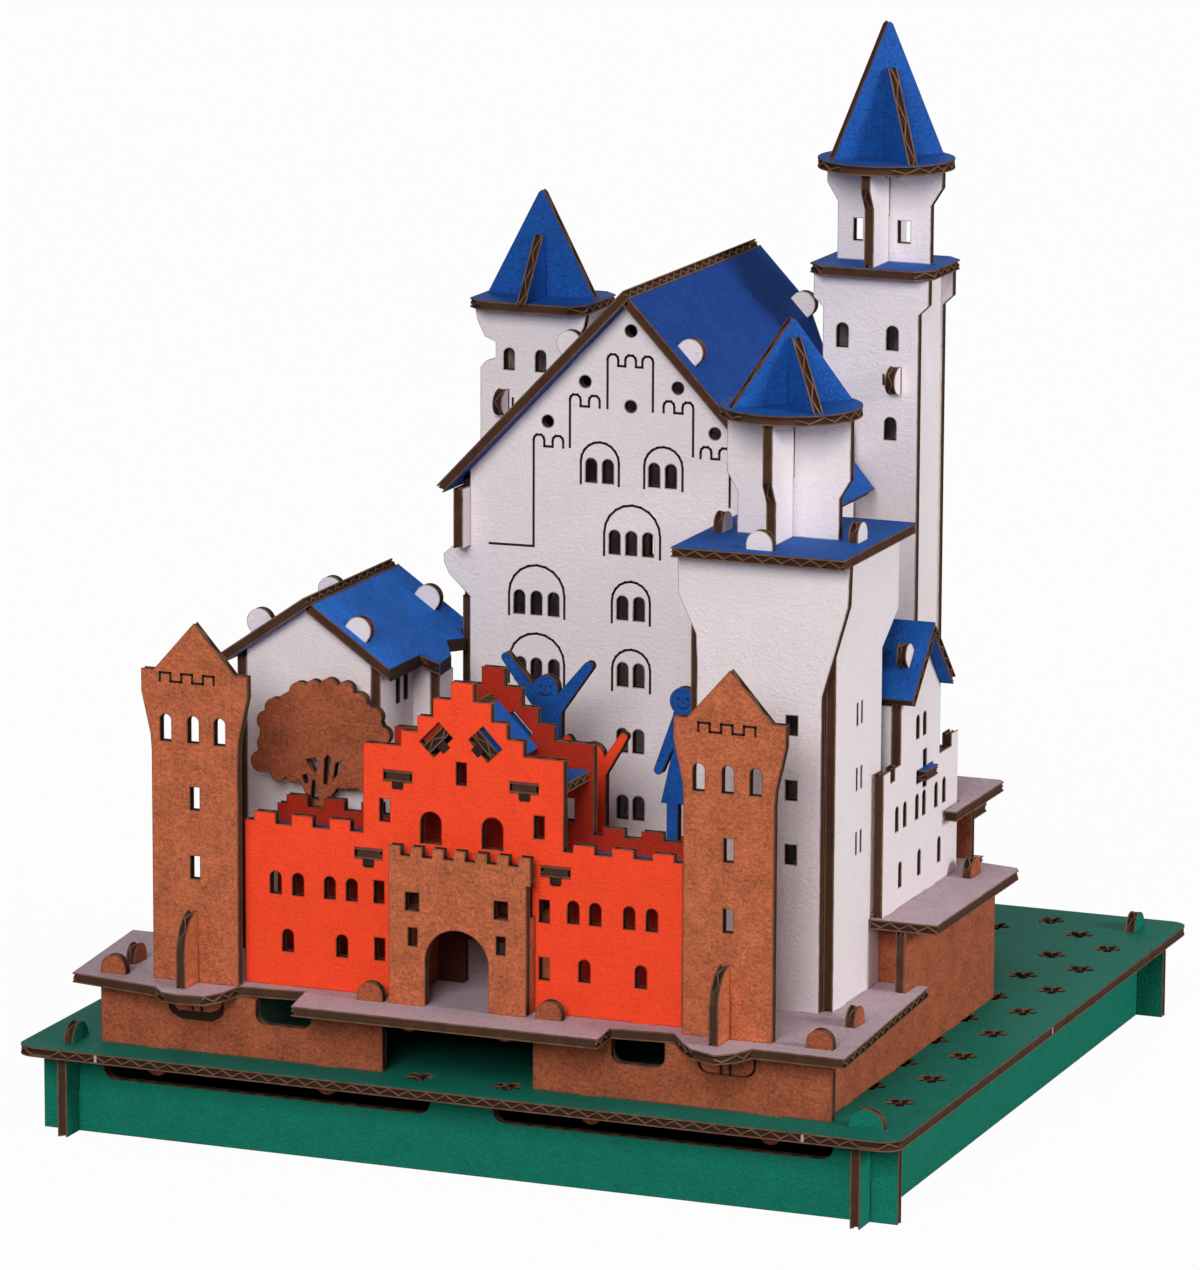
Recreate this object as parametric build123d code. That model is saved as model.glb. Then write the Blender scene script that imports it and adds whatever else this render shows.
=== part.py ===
from build123d import *
from math import cos, radians, sin, tan
import os

# Board and joints. Every piece is cut from one flat corrugated board; X runs along the front,
# Y goes back, Z goes up. Pieces are drawn from the middle of the base and moved at the end, so that
# the origin is the middle of the whole outline, on the ground.
BOARD = 1.7
HALF = BOARD / 2
FIT = 0.05
TAB_W = 4.4
TAB_RISE = 3.0

# Base
BASE = 150.0
BASE_TOP = 15.0
BASE_UNDER = BASE_TOP - BOARD
BASE_CORNER = 3.0
BASE_WALL_AXIS = 67.6
BASE_WALL_END = 73.0
BASE_TAB_W = 5.8
BASE_RECESS_IN = 5.4
BASE_RECESS_OUT = 62.3
BASE_RECESS_Z = 9.2
FLOWER_PITCH = 15.0
FLOWER_LOBES = 5
FLOWER_REACH = 2.5
FLOWER_NECK = 1.2

# Rock walls and terraces
FRONT = -67.6
TERRACE_1 = 26.5
TERRACE_2 = 38.0
TERRACE_3 = 49.5
ROCK_LEFT = -61.8
ROCK_RIGHT = 60.4
CROSS_Y = -24.8
ROCK_STEP_Y = -30.5
ROCK_RIGHT_END = 13.9
ROCK_BACK_Y = 50.0
INNER_LEFT = -50.0
INNER_RIGHT = 42.0
STEP_WALL_Y = 14.3
CUT_Z = 20.7
POCKET_R = 1.8
APRON_Y = -77.2

# Front towers and gatehouse
TOWER_L = -46.3
TOWER_TAB = 9.0
TOWER_R = 44.3
FIN_FRONT = -72.0
FIN_BACK = -60.0
GATE_Y = -64.0
GATE_BACK_Y = -51.5
GATE_L = -39.2
GATE_R = 35.4
GATE_TOP = 54.6
MERLON = 3.6
MERLON_GAP = 2.95
MERLON_DEPTH = 1.7
GATE_AXIS = -2.0
PORCH_L = -12.8
PORCH_R = 10.6
PORCH_AXIS = -1.2
PASSAGE_L = PORCH_L
PASSAGE_R = PORCH_R - BOARD
PASSAGE_TOP = 42.0

# House
HOUSE_Y = -45.0
HOUSE_BACK_Y = -16.9
HOUSE_AXIS = -36.5
HOUSE_HALF = 10.9
HOUSE_RIDGE = 86.0
HOUSE_PITCH = 34.7
HOUSE_ROOF_FRONT = -47.0
HOUSE_ROOF_BACK = -11.5
HOUSE_EAVE = 15.0
HOUSE_WINDOW_DROP = 7.2

# Palace
PALACE_Y = -17.0
PALACE_BACK_Y = 35.0
PALACE_AXIS = 7.5
PALACE_HALF = 27.7
PALACE_R = 30.5
PALACE_RIDGE = 134.5
PALACE_PITCH = 46.4
PALACE_ROOF_FRONT = -20.0
PALACE_ROOF_BACK = 40.0
PALACE_EAVE_L = 32.4
PALACE_EAVE_R = 24.0

# Towers behind
SQUARE_Y = -48.0
SQUARE_L = 31.4
SQUARE_R = 52.2
SQUARE_BACK = -25.0
SQUARE_TOP = 98.3
TURRET_X = 41.9
TURRET_Y = -35.1
TURRET_H = 19.3
TURRET_CONE_H = 13.7
TALL_X = 34.6
TALL_Y = 22.0
TALL_DEPTH = 12.0
TALL_TOP = 132.3
TALL_HEAD_H = 15.5
TALL_CONE_H = 22.4
BACK_X = -33.2
BACK_Y = 40.3
BACK_TOP = 119.6
BACK_CONE_H = 18.3
DECK_W = 21.6
DECK_D = 18.0
DISC_R = 11.3

# Wing
WING_X = 54.4
WING_AXIS = -12.0
WING_FRONT = -29.5
WING_BACK = 6.5
WING_HALF = 9.4
WING_DECK = 57.0
WING_RIDGE = 83.0
WING_PITCH = 46.0


def rect(x0, x1, y0, y1):
    return Pos((x0 + x1) / 2, (y0 + y1) / 2) * Rectangle(x1 - x0, y1 - y0)


def poly(*points):
    area = sum(a[0] * b[1] - b[0] * a[1] for a, b in zip(points, points[1:] + points[:1]))
    ordered = points if area > 0 else points[::-1]
    return Polygon(*ordered, align=None)


def disc(x, y, r):
    return Pos(x, y) * Circle(r)


def arch(x, z, w, h):
    return rect(x - w / 2, x + w / 2, z, z + h - w / 2) + disc(x, z + h - w / 2, w / 2)


def tab_up(x, z, w=TAB_W, rise=TAB_RISE):
    r = w / 2
    return rect(x - r, x + r, z - HALF, z + BOARD + rise - r) + disc(x, z + BOARD + rise - r, r)


def tab_down(x, z, w=TAB_W, rise=TAB_RISE):
    r = w / 2
    return rect(x - r, x + r, z - BOARD - rise + r, z + HALF) + disc(x, z - BOARD - rise + r, r)


def foot(x, z, w=TAB_W):
    return rect(x - w / 2, x + w / 2, z - BOARD, z + HALF)


def front_board(sketch, y_front, thick=BOARD):
    return extrude(Plane.XZ.offset(-y_front) * sketch, amount=-thick)


def side_board(sketch, x_left, thick=BOARD):
    return extrude(Plane.YZ.offset(x_left) * sketch, amount=thick)


def flat_board(sketch, z_under, thick=BOARD):
    return extrude(Plane.XY.offset(z_under) * sketch, amount=thick)


def slot_x(x, y_front, w=TAB_W):
    return rect(x - w / 2 - FIT, x + w / 2 + FIT, y_front - FIT, y_front + BOARD + FIT)


def slot_y(x_left, y, w=TAB_W):
    return rect(x_left - FIT, x_left + BOARD + FIT, y - w / 2 - FIT, y + w / 2 + FIT)


def roof_point(axis, ridge, pitch, side, along, above=0.0):
    a = radians(pitch)
    x = axis + side * (along * cos(a) + above * sin(a))
    return x, ridge - along * sin(a) + above * cos(a)


def roof_sections(axis, ridge, pitch, left, right):
    a = radians(pitch)
    joint = BOARD / sin(2 * a)
    top = roof_point(axis, ridge, pitch, 1, 0)
    lap = roof_point(axis, ridge, pitch, 1, joint)
    under = (axis, ridge - BOARD / cos(a))
    left_top = roof_point(axis, ridge, pitch, -1, left)
    left_under = roof_point(axis, ridge, pitch, -1, left, -BOARD)
    right_top = roof_point(axis, ridge, pitch, 1, right)
    right_under = roof_point(axis, ridge, pitch, 1, right, -BOARD)
    section_left = poly(top, lap, left_under, left_top)
    section_right = poly(lap, right_top, right_under, under)
    return section_left, section_right


def roof_tab(axis, ridge, pitch, side, along, w=TAB_W, rise=TAB_RISE):
    x, z = roof_point(axis, ridge, pitch, side, along, -BOARD)
    return Pos(x, z) * Rot(0, 0, -side * pitch) * tab_up(0, 0, w, rise)


def roof_slot(axis, ridge, pitch, side, along, w=TAB_W):
    x, z = roof_point(axis, ridge, pitch, side, along, -HALF)
    return Pos(x, z) * Rot(0, 0, -side * pitch) * Rectangle(w + 2 * FIT, 2 * BOARD)


def gable(axis, half, z_low, ridge, pitch):
    a = radians(pitch)
    peak = ridge - BOARD / cos(a)
    eave = peak - half * tan(a)
    return poly((axis - half, z_low), (axis + half, z_low), (axis + half, eave), (axis, peak),
                (axis - half, eave))


def pocket(x0, x1, z0, z1):
    shape = rect(x0, x1, z0, z1)
    return fillet([v for v in shape.vertices() if v.Y < z0 + 0.1], POCKET_R)


def half_lap(x, z0, z1):
    return rect(x - HALF - FIT, x + HALF + FIT, z0, z1)


pieces = {}


# Base: a plate with flower holes on four slotted walls
def flower_hole(x, y):
    step = 360 / FLOWER_LOBES
    points = []
    for k in range(FLOWER_LOBES):
        lobe = radians(step * k)
        neck = radians(step * (k + 0.5))
        for swing, reach in ((-24, 0.82), (-11, 1.0), (11, 1.0), (24, 0.82)):
            a = lobe + radians(swing)
            points.append((x + FLOWER_REACH * reach * cos(a), y + FLOWER_REACH * reach * sin(a)))
        points.append((x + FLOWER_NECK * cos(neck), y + FLOWER_NECK * sin(neck)))
    return poly(*points)


base_wall_profile = rect(-BASE_WALL_END, BASE_WALL_END, 0, BASE_UNDER)
for side in (-1, 1):
    recess = rect(min(side * BASE_RECESS_IN, side * BASE_RECESS_OUT),
                  max(side * BASE_RECESS_IN, side * BASE_RECESS_OUT), BASE_RECESS_Z, BASE_TOP)
    low = [v for v in recess.vertices() if v.Y < BASE_RECESS_Z + 0.1]
    base_wall_profile -= fillet(low, 2.0)
base_wall_profile += tab_up(BASE_WALL_AXIS, BASE_UNDER, BASE_TAB_W, 2.9)
base_wall_profile -= half_lap(BASE_WALL_AXIS, 0, BASE_UNDER / 2)
base_wall_profile -= half_lap(-BASE_WALL_AXIS, BASE_UNDER / 2, BASE_TOP)
base_wall = front_board(base_wall_profile, -BASE_WALL_AXIS - HALF)
pieces["base_walls"] = [Rot(0, 0, turn) * base_wall for turn in (0, 90, 180, 270)]

plate = fillet(Rectangle(BASE, BASE).vertices(), BASE_CORNER)
for turn in (0, 90, 180, 270):
    plate -= Rot(0, 0, turn) * slot_x(BASE_WALL_AXIS, -BASE_WALL_AXIS - HALF, BASE_TAB_W)

holes = []
for i in range(10):
    for j in range(10):
        x = FLOWER_PITCH * (i - 4.5)
        y = FLOWER_PITCH * (j - 4.5)
        corner = abs(x) > 60 and abs(y) > 60
        if not corner and (x > 62 or y > 56 or (abs(x) < 8 and y < -60)):
            holes.append((x, y))
        x = FLOWER_PITCH * (i - 4)
        y = FLOWER_PITCH * (j - 4)
        if i < 9 and j < 9 and -50 < y and (x > 56 or y > 56):
            holes.append((x, y))
for x, y in holes:
    plate -= flower_hole(x, y)

ROCK_FRONT_FEET = (-53.4, -23.6, 21.6, 51.6)
ROCK_SIDE_FEET = (-56.0, -36.0)
for x in ROCK_FRONT_FEET:
    plate -= slot_x(x, FRONT, 4.0)
for y in ROCK_SIDE_FEET:
    plate -= slot_y(ROCK_LEFT, y)
    plate -= slot_y(ROCK_RIGHT - BOARD, y)
plate -= slot_y(ROCK_RIGHT - BOARD, -5.0)
for x in (-40.0, 0.0, 40.0):
    plate -= slot_x(x, CROSS_Y)
for x in (-35.0, 0.0, 30.0):
    plate -= slot_x(x, ROCK_BACK_Y)
for y in (-10.0, 30.0):
    plate -= slot_y(INNER_LEFT, y)
    plate -= slot_y(INNER_RIGHT, y)
pieces["base_plate"] = flat_board(plate, BASE_UNDER)

# Rock walls
T1_UNDER = TERRACE_1 - BOARD
T2_UNDER = TERRACE_2 - BOARD
T3_UNDER = TERRACE_3 - BOARD

wall = rect(-63.1, -13.9, BASE_TOP, T1_UNDER)
for x in ROCK_FRONT_FEET[:2]:
    wall += tab_down(x, BASE_TOP, 4.0, 3.0)
for x in (-60.9, -16.1):
    wall += tab_up(x, T1_UNDER)
wall -= pocket(TOWER_L - TOWER_TAB / 2 - 0.3, TOWER_L + TOWER_TAB / 2 + 0.3, CUT_Z, TERRACE_1)
wall -= pocket(-35.9, -26.2, CUT_Z, TERRACE_1)
pieces["rock_front_left"] = front_board(wall, FRONT)

wall = rect(11.8, 61.7, BASE_TOP, T1_UNDER)
for x in ROCK_FRONT_FEET[2:]:
    wall += tab_down(x, BASE_TOP, 4.0, 3.0)
for x in (14.4, 59.5):
    wall += tab_up(x, T1_UNDER)
wall -= pocket(25.0, 34.0, CUT_Z, TERRACE_1)
wall -= pocket(TOWER_R - TOWER_TAB / 2 - 0.3, TOWER_R + TOWER_TAB / 2 + 0.3, CUT_Z, TERRACE_1)
pieces["rock_front_right"] = front_board(wall, FRONT)

ROCK_IN = FRONT + BOARD
wall = rect(ROCK_IN, CROSS_Y, BASE_TOP, T1_UNDER)
for y in ROCK_SIDE_FEET:
    wall += foot(y, BASE_TOP)
wall += tab_up(-58.8, T1_UNDER)
pieces["rock_side_left"] = side_board(wall, ROCK_LEFT)

wall = rect(ROCK_IN, ROCK_STEP_Y, BASE_TOP, T1_UNDER) + rect(ROCK_STEP_Y, ROCK_RIGHT_END, BASE_TOP, T2_UNDER)
for y in ROCK_SIDE_FEET + (-5.0,):
    wall += foot(y, BASE_TOP)
wall += tab_up(-51.5, T1_UNDER)
wall += tab_up(4.0, T2_UNDER, 5.0)
pieces["rock_side_right"] = side_board(wall, ROCK_RIGHT - BOARD)

wall = rect(-60.1, ROCK_RIGHT - BOARD, BASE_TOP, T1_UNDER) + rect(-52.0, ROCK_RIGHT - BOARD, T1_UNDER, T2_UNDER)
for x in (-40.0, 0.0, 40.0):
    wall += foot(x, BASE_TOP)
pieces["rock_cross"] = front_board(wall, CROSS_Y)

CROSS_BACK = CROSS_Y + BOARD
wall = rect(INNER_LEFT, INNER_RIGHT + BOARD, BASE_TOP, T2_UNDER)
for x in (-35.0, 0.0, 30.0):
    wall += foot(x, BASE_TOP)
pieces["rock_back"] = front_board(wall, ROCK_BACK_Y)

wall = rect(CROSS_BACK, ROCK_BACK_Y, BASE_TOP, T2_UNDER)
for y in (-10.0, 30.0):
    wall += foot(y, BASE_TOP)
pieces["rock_inner_sides"] = [side_board(wall, INNER_LEFT), side_board(wall, INNER_RIGHT)]

STEP_FEET = (41.0, 52.0)
wall = rect(33.0, 55.9, TERRACE_2, T3_UNDER)
for x in STEP_FEET:
    wall += foot(x, TERRACE_2)
wall += foot(47.0, TERRACE_3) - rect(33.0, 56.0, 0, T3_UNDER)
pieces["terrace_step_wall"] = front_board(wall, STEP_WALL_Y)

# Terraces: slots are added below, with the pieces that stand in them
low = poly((-67.2, -69.5), (-51.3, -72.4), (-48.8, -75.2), (-46.2, -75.7), (-41.6, -75.1), (-39.7, -71.6),
           (-38.9, -67.2), (-27.9, -66.0), (-27.2, -70.0), (-26.2, -75.4), (25.8, -75.4), (25.2, -68.5),
           (35.5, -67.4), (38.2, -71.5), (41.1, -75.1), (45.8, APRON_Y), (48.6, -74.8), (49.9, -71.4),
           (65.2, -71.7), (62.6, -25.0), (-50.2, -25.0), (-50.2, -40.5), (-70.3, -40.5))
for x, y in ((-60.9, FRONT), (-16.1, FRONT), (14.4, FRONT), (59.5, FRONT)):
    low -= slot_x(x, y)
low -= slot_y(ROCK_LEFT, -58.8)
low -= slot_y(ROCK_RIGHT - BOARD, -51.5)
low -= rect(ROCK_RIGHT - BOARD - FIT, ROCK_RIGHT + FIT, ROCK_STEP_Y - FIT, -20)

mid = poly((-53.0, CROSS_Y), (54.2, CROSS_Y), (54.2, -30.2), (65.6, -30.2), (65.6, 10.2), (64.8, 11.6),
           (57.0, 13.2), (57.0, 17.5), (45.0, 17.5), (45.0, 54.5), (-53.0, 54.5))
mid -= slot_y(ROCK_RIGHT - BOARD, 4.0, 5.0)
for x in STEP_FEET:
    mid -= slot_x(x, STEP_WALL_Y)

high = poly((33.0, 6.9), (56.4, 6.9), (56.4, -1.0), (58.5, -1.0), (58.5, 23.0), (57.6, 24.0), (44.2, 24.0),
            (44.2, 17.5), (33.0, 17.5))
high -= slot_x(47.0, STEP_WALL_Y)


# Front towers
def front_tower(axis, apex_z, shoulder_z, foot_rise):
    half = 9.2
    neck = 7.45
    crown = shoulder_z - 0.2
    shape = poly((axis - neck, TERRACE_1), (axis + neck, TERRACE_1), (axis + neck, 63.9), (axis + neck + 0.2, 66.6),
                 (axis + half, 73.4), (axis + half, crown), (axis + half - 2.2, crown), (axis, apex_z),
                 (axis - half + 2.2, crown), (axis - half, crown), (axis - half, 73.4),
                 (axis - neck - 0.2, 66.6), (axis - neck, 63.9))
    for x in (-5.0, -0.2, 4.4):
        shape -= arch(axis + x, 65.5, 2.0, 4.4)
    for z in (54.6, 43.4):
        shape -= rect(axis - 0.85, axis + 0.85, z, z + 3.8)
    shape += pocket(axis - TOWER_TAB / 2, axis + TOWER_TAB / 2, T1_UNDER - foot_rise, TERRACE_1 + HALF)
    shape -= half_lap(axis - 0.4, T1_UNDER, TERRACE_1 + 6.0)
    return shape


pieces["front_towers"] = [front_board(front_tower(x, 84.9, 77.2, 4.0), FRONT) for x in (TOWER_L, TOWER_R)]
low -= slot_x(TOWER_L, FRONT, TOWER_TAB)
low -= slot_x(TOWER_R, FRONT, TOWER_TAB)

fin = arch(FRONT + HALF, TERRACE_1, 11.4, 12.0)
fin -= rect(FRONT - FIT, FRONT + BOARD + FIT, TERRACE_1 + 6.0, TERRACE_1 + 13)
pieces["front_tower_fins"] = [side_board(fin, x - 0.4 - HALF) for x in (TOWER_L, TOWER_R)]


# Gatehouse
def merlon_row(x0, count, z, step=MERLON + MERLON_GAP, width=MERLON):
    row = rect(x0, x0 + width, z, z + MERLON_DEPTH)
    for k in range(1, count):
        row += rect(x0 + k * step, x0 + k * step + width, z, z + MERLON_DEPTH)
    return row


def stepped_gable(axis, z):
    shape = rect(axis - 16.9, axis + 17.2, z, 67.4)
    for half, top in ((10.4, 69.9), (7.6, 72.5), (4.9, 75.5), (1.9, 78.4)):
        shape += rect(axis - half, axis + half, 67.0, top)
    return shape


def gate_slots():
    shape = rect(-15.2, -10.3, 61.5, 63.3) + rect(-13.6, -12.0, 60.3, 61.6)
    shape += rect(6.3, 11.2, 61.5, 63.3) + rect(8.0, 9.6, 60.3, 61.6)
    shape += rect(-20.2, -15.4, 48.5, 50.3) + rect(-18.6, -17.0, 47.2, 48.6)
    shape += rect(11.6, 16.6, 48.5, 50.3) + rect(13.3, 14.9, 47.2, 48.6)
    return shape


GATE_PITCH = 46.0
GATE_ROOF_TOP = 74.4
GATE_ROOF_REACH = 16.0
GATE_ROOF_TAB = 6.9


def gate_wall():
    shape = rect(GATE_L, GATE_R, TERRACE_1, 52.8)
    shape += rect(GATE_L, GATE_L + 1.6, 52.0, 53.1) + rect(GATE_L + 1.6, GATE_L + 5.3, 52.0, GATE_TOP)
    shape += merlon_row(-31.1, 2, 52.8)
    shape += merlon_row(17.0, 2, 52.4)
    shape += rect(30.3, 33.9, 52.0, 54.0)
    shape += stepped_gable(GATE_AXIS + 0.2, 50.0)
    shape -= gate_slots()
    for side in (-1, 1):
        shape -= roof_slot(GATE_AXIS, GATE_ROOF_TOP, GATE_PITCH, side, GATE_ROOF_TAB, 4.6) & rect(-60, 60, 0, 200)
    return shape


wall = gate_wall()
for x in (-33.9, -30.0, -24.5, -20.7, 17.1, 20.8, 26.5, 30.3):
    wall -= arch(x, 41.4, 2.0, 3.7)
for x in (-31.8, -22.4, 19.0, 28.5):
    wall -= arch(x, 32.1, 2.0, 3.7)
for x, z in ((-16.0, 41.5), (-15.9, 32.2), (-15.0, 54.9), (-1.9, 61.9), (11.3, 54.5), (12.2, 41.1), (12.2, 31.8)):
    wall -= rect(x - 0.9, x + 0.9, z, z + 3.7)
for x in (-7.1, 3.4):
    wall -= arch(x, 52.0, 3.6, 5.2)
wall -= rect(PASSAGE_L - FIT, PASSAGE_R + BOARD + FIT, TERRACE_1 - 1, PASSAGE_TOP)
GATE_FEET = (-33.0, 29.0)
for x in GATE_FEET:
    wall += foot(x, TERRACE_1)
    low -= slot_x(x, GATE_Y)
    low -= slot_x(x, GATE_BACK_Y)
pieces["gate_wall_front"] = front_board(wall, GATE_Y)

wall = gate_wall()
for x in (-14.8, 11.3):
    wall -= rect(x - 0.9, x + 0.9, 54.7, 58.4)
wall -= arch(PORCH_AXIS, TERRACE_1 - 1, 10.8, 13.9)
for x in GATE_FEET:
    wall += foot(x, TERRACE_1)
pieces["gate_wall_back"] = front_board(wall, GATE_BACK_Y)

porch = rect(PORCH_L, PORCH_R, TERRACE_1, 50.6)
porch += rect(PORCH_L, PORCH_R + 0.7, 47.6, 50.6)
for k in range(7):
    left = PORCH_L + k * 3.68
    porch += rect(left, left + 2.0, 50.0, 52.2)
for x in (-8.8, 6.3):
    porch -= rect(x - 1.2, x + 1.2, 41.8, 44.8)
for x in (-8.7, 6.3):
    porch -= rect(x - 0.8, x + 0.8, 36.1, 39.1)
porch -= arch(PORCH_AXIS, TERRACE_1 - 1, 10.8, 13.8)
PORCH_FEET = (-9.4, 7.0)
for x in PORCH_FEET:
    porch += tab_down(x, TERRACE_1, 4.0, 2.6)
    low -= slot_x(x, FRONT, 4.0)
pieces["gate_porch_front"] = front_board(porch, FRONT)

wall = rect(ROCK_IN, GATE_BACK_Y, TERRACE_1, PASSAGE_TOP)
wall += foot(-57.0, TERRACE_1)
low -= slot_y(PASSAGE_L, -57.0)
low -= slot_y(PASSAGE_R, -57.0)
pieces["gate_passage_sides"] = [side_board(wall, PASSAGE_L), side_board(wall, PASSAGE_R)]

GATE_IN = GATE_Y + BOARD
GATE_BACK_IN = GATE_BACK_Y + BOARD


def gate_deck(x0, x1, tab_l, tab_r):
    deck = rect(x0, x1, GATE_IN, GATE_BACK_Y)
    deck += rect(tab_l + FIT, tab_r - FIT, GATE_Y, GATE_BACK_IN)
    return deck


LOW_DECK = 48.5 + FIT
HIGH_DECK = 61.5 + FIT
pieces["gate_wing_decks"] = [flat_board(gate_deck(GATE_L + 0.4, -15.6, -20.2, -15.4), LOW_DECK),
                             flat_board(gate_deck(11.8, GATE_R - 0.2, 11.6, 16.6), LOW_DECK)]
pieces["gate_shoulder_decks"] = [flat_board(gate_deck(-18.4, -9.6, -15.2, -10.3), HIGH_DECK),
                                 flat_board(gate_deck(5.8, 14.8, 6.3, 11.2), HIGH_DECK)]

left, right = roof_sections(GATE_AXIS, GATE_ROOF_TOP, GATE_PITCH, 11.6, 11.6)
slopes = []
for side, section in ((-1, left), (1, right)):
    slope = front_board(section, GATE_IN, GATE_BACK_Y - GATE_IN)
    x, z = roof_point(GATE_AXIS, GATE_ROOF_TOP, GATE_PITCH, side, GATE_ROOF_TAB, -HALF)
    tab = Pos(x, z) * Rot(0, 0, -side * GATE_PITCH) * Rectangle(4.6, BOARD)
    slope += front_board(tab, GATE_Y, GATE_BACK_IN - GATE_Y)
    slopes.append(slope)
pieces["gate_roof_slopes"] = slopes

# Tree and figures
TREE_Y = -48.6
crown = poly((-36.7, 56.4), (-41.8, 57.0), (-44.0, 60.7), (-43.2, 66.4), (-38.6, 70.6), (-33.3, 72.2), (-28.1, 72.2),
             (-23.3, 68.9), (-21.4, 65.2), (-21.0, 60.0), (-24.0, 56.2), (-29.0, 55.6))
for x, z, r in ((-37.9, 57.0, 1.1), (-40.4, 57.2, 1.4), (-43.4, 58.9, 1.8), (-42.6, 61.9, 1.5), (-42.3, 65.6, 1.8),
                (-41.0, 67.8, 1.7), (-38.6, 68.8, 1.7), (-36.6, 70.7, 1.8), (-34.2, 71.6, 1.4), (-31.4, 71.9, 1.6),
                (-28.6, 71.7, 1.5), (-26.4, 70.0, 1.6), (-23.8, 67.8, 1.6), (-22.3, 64.9, 1.5), (-21.2, 61.6, 1.4),
                (-22.2, 58.3, 1.8), (-25.4, 56.6, 1.3)):
    crown += disc(x, z, r)
tree = crown + poly((-35.4, TERRACE_1), (-31.2, TERRACE_1), (-31.2, 54.0), (-28.9, 57.2), (-36.9, 57.2), (-35.2, 53.4))
tree -= poly((-32.4, 56.2), (-32.2, 60.3), (-31.6, 61.0), (-31.0, 60.3), (-31.8, 56.0))
tree -= poly((-30.7, 57.0), (-30.3, 59.7), (-29.2, 60.2), (-29.6, 58.3))
tree -= poly((-35.5, 59.9), (-33.8, 60.3), (-33.2, 59.2), (-33.9, 57.8), (-34.9, 59.0))
tree -= poly((-36.2, 57.2), (-35.2, 57.6), (-35.0, 56.2), (-35.6, 55.9))
tree -= poly((-34.7, 53.6), (-34.4, 56.6), (-33.9, 56.7), (-33.2, 53.4))
tree += foot(-33.7, TERRACE_1, 3.6)
low -= slot_x(-33.7, TREE_Y, 3.6)
pieces["tree"] = front_board(tree, TREE_Y)

FIGURE_Y = -35.0


def limb(x0, z0, x1, z1, w0, w1):
    length = ((x1 - x0) ** 2 + (z1 - z0) ** 2) ** 0.5
    nx = -(z1 - z0) / length
    nz = (x1 - x0) / length
    bar = poly((x0 + nx * w0 / 2, z0 + nz * w0 / 2), (x1 + nx * w1 / 2, z1 + nz * w1 / 2),
               (x1 - nx * w1 / 2, z1 - nz * w1 / 2), (x0 - nx * w0 / 2, z0 - nz * w0 / 2))
    return bar + disc(x1, z1, w1 / 2)


def stand(x, z_top, w=2.6):
    return rect(x - w / 2, x + w / 2, TERRACE_1, z_top) + foot(x, TERRACE_1, w)


man = disc(0.5, 71.8, 2.2) + limb(0.4, 68.0, -6.4, 76.4, 2.6, 1.6) + limb(1.6, 68.0, 7.8, 76.0, 2.6, 1.6)
man += rect(-1.6, 3.2, 56.0, 69.9) + stand(0.8, 57.0)
pieces["figure_man"] = front_board(man, FIGURE_Y)

woman = disc(24.1, 71.7, 2.3) + rect(22.4, 26.0, 60.0, 69.9) + limb(23.4, 69.0, 19.9, 60.2, 2.2, 1.5)
woman += poly((22.2, 63.0), (26.2, 63.0), (27.6, 54.9), (20.4, 54.9))
woman += rect(21.4, 23.3, 44.0, 56.0) + rect(24.7, 26.6, 44.0, 56.0) + stand(24.0, 46.0, 5.2)
pieces["figure_woman"] = front_board(woman, FIGURE_Y)

child = disc(8.4, 61.3, 2.3) + limb(8.0, 57.6, 4.2, 63.8, 2.0, 1.4) + limb(9.2, 57.6, 13.9, 65.0, 2.0, 1.4)
child += rect(6.5, 10.9, 46.0, 59.6) + stand(8.7, 47.0)
pieces["figure_child"] = front_board(child, FIGURE_Y)
for x, w in ((0.8, 2.6), (24.0, 5.2), (8.7, 2.6)):
    low -= slot_x(x, FIGURE_Y, w)

# House
ROOF_H = (HOUSE_AXIS, HOUSE_RIDGE, HOUSE_PITCH)
house_gable = gable(HOUSE_AXIS, HOUSE_HALF, TERRACE_1, HOUSE_RIDGE, HOUSE_PITCH)
for side in (-1, 1):
    house_gable += roof_tab(*ROOF_H, side, 10.0)
face = house_gable
for x in (-42.0, -31.0):
    face += foot(x, TERRACE_1)
    low -= slot_x(x, HOUSE_Y)
pieces["house_front"] = front_board(face, HOUSE_Y)
back = house_gable - rect(-60, 0, 0, TERRACE_2)
for x in (-42.0, -31.0):
    back += foot(x, TERRACE_2)
    mid -= slot_x(x, HOUSE_BACK_Y)
pieces["house_back"] = front_board(back, HOUSE_BACK_Y)

EAVE_IN = HOUSE_RIDGE - (BOARD + (HOUSE_HALF + BOARD) * sin(radians(HOUSE_PITCH))) / cos(radians(HOUSE_PITCH))


def house_side(y_end):
    shape = rect(HOUSE_Y, CROSS_Y - 0.2, TERRACE_1, EAVE_IN)
    shape += rect(CROSS_Y - 0.2, y_end, TERRACE_2, EAVE_IN)
    shape += foot(-36.0, TERRACE_1)
    return shape


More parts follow.
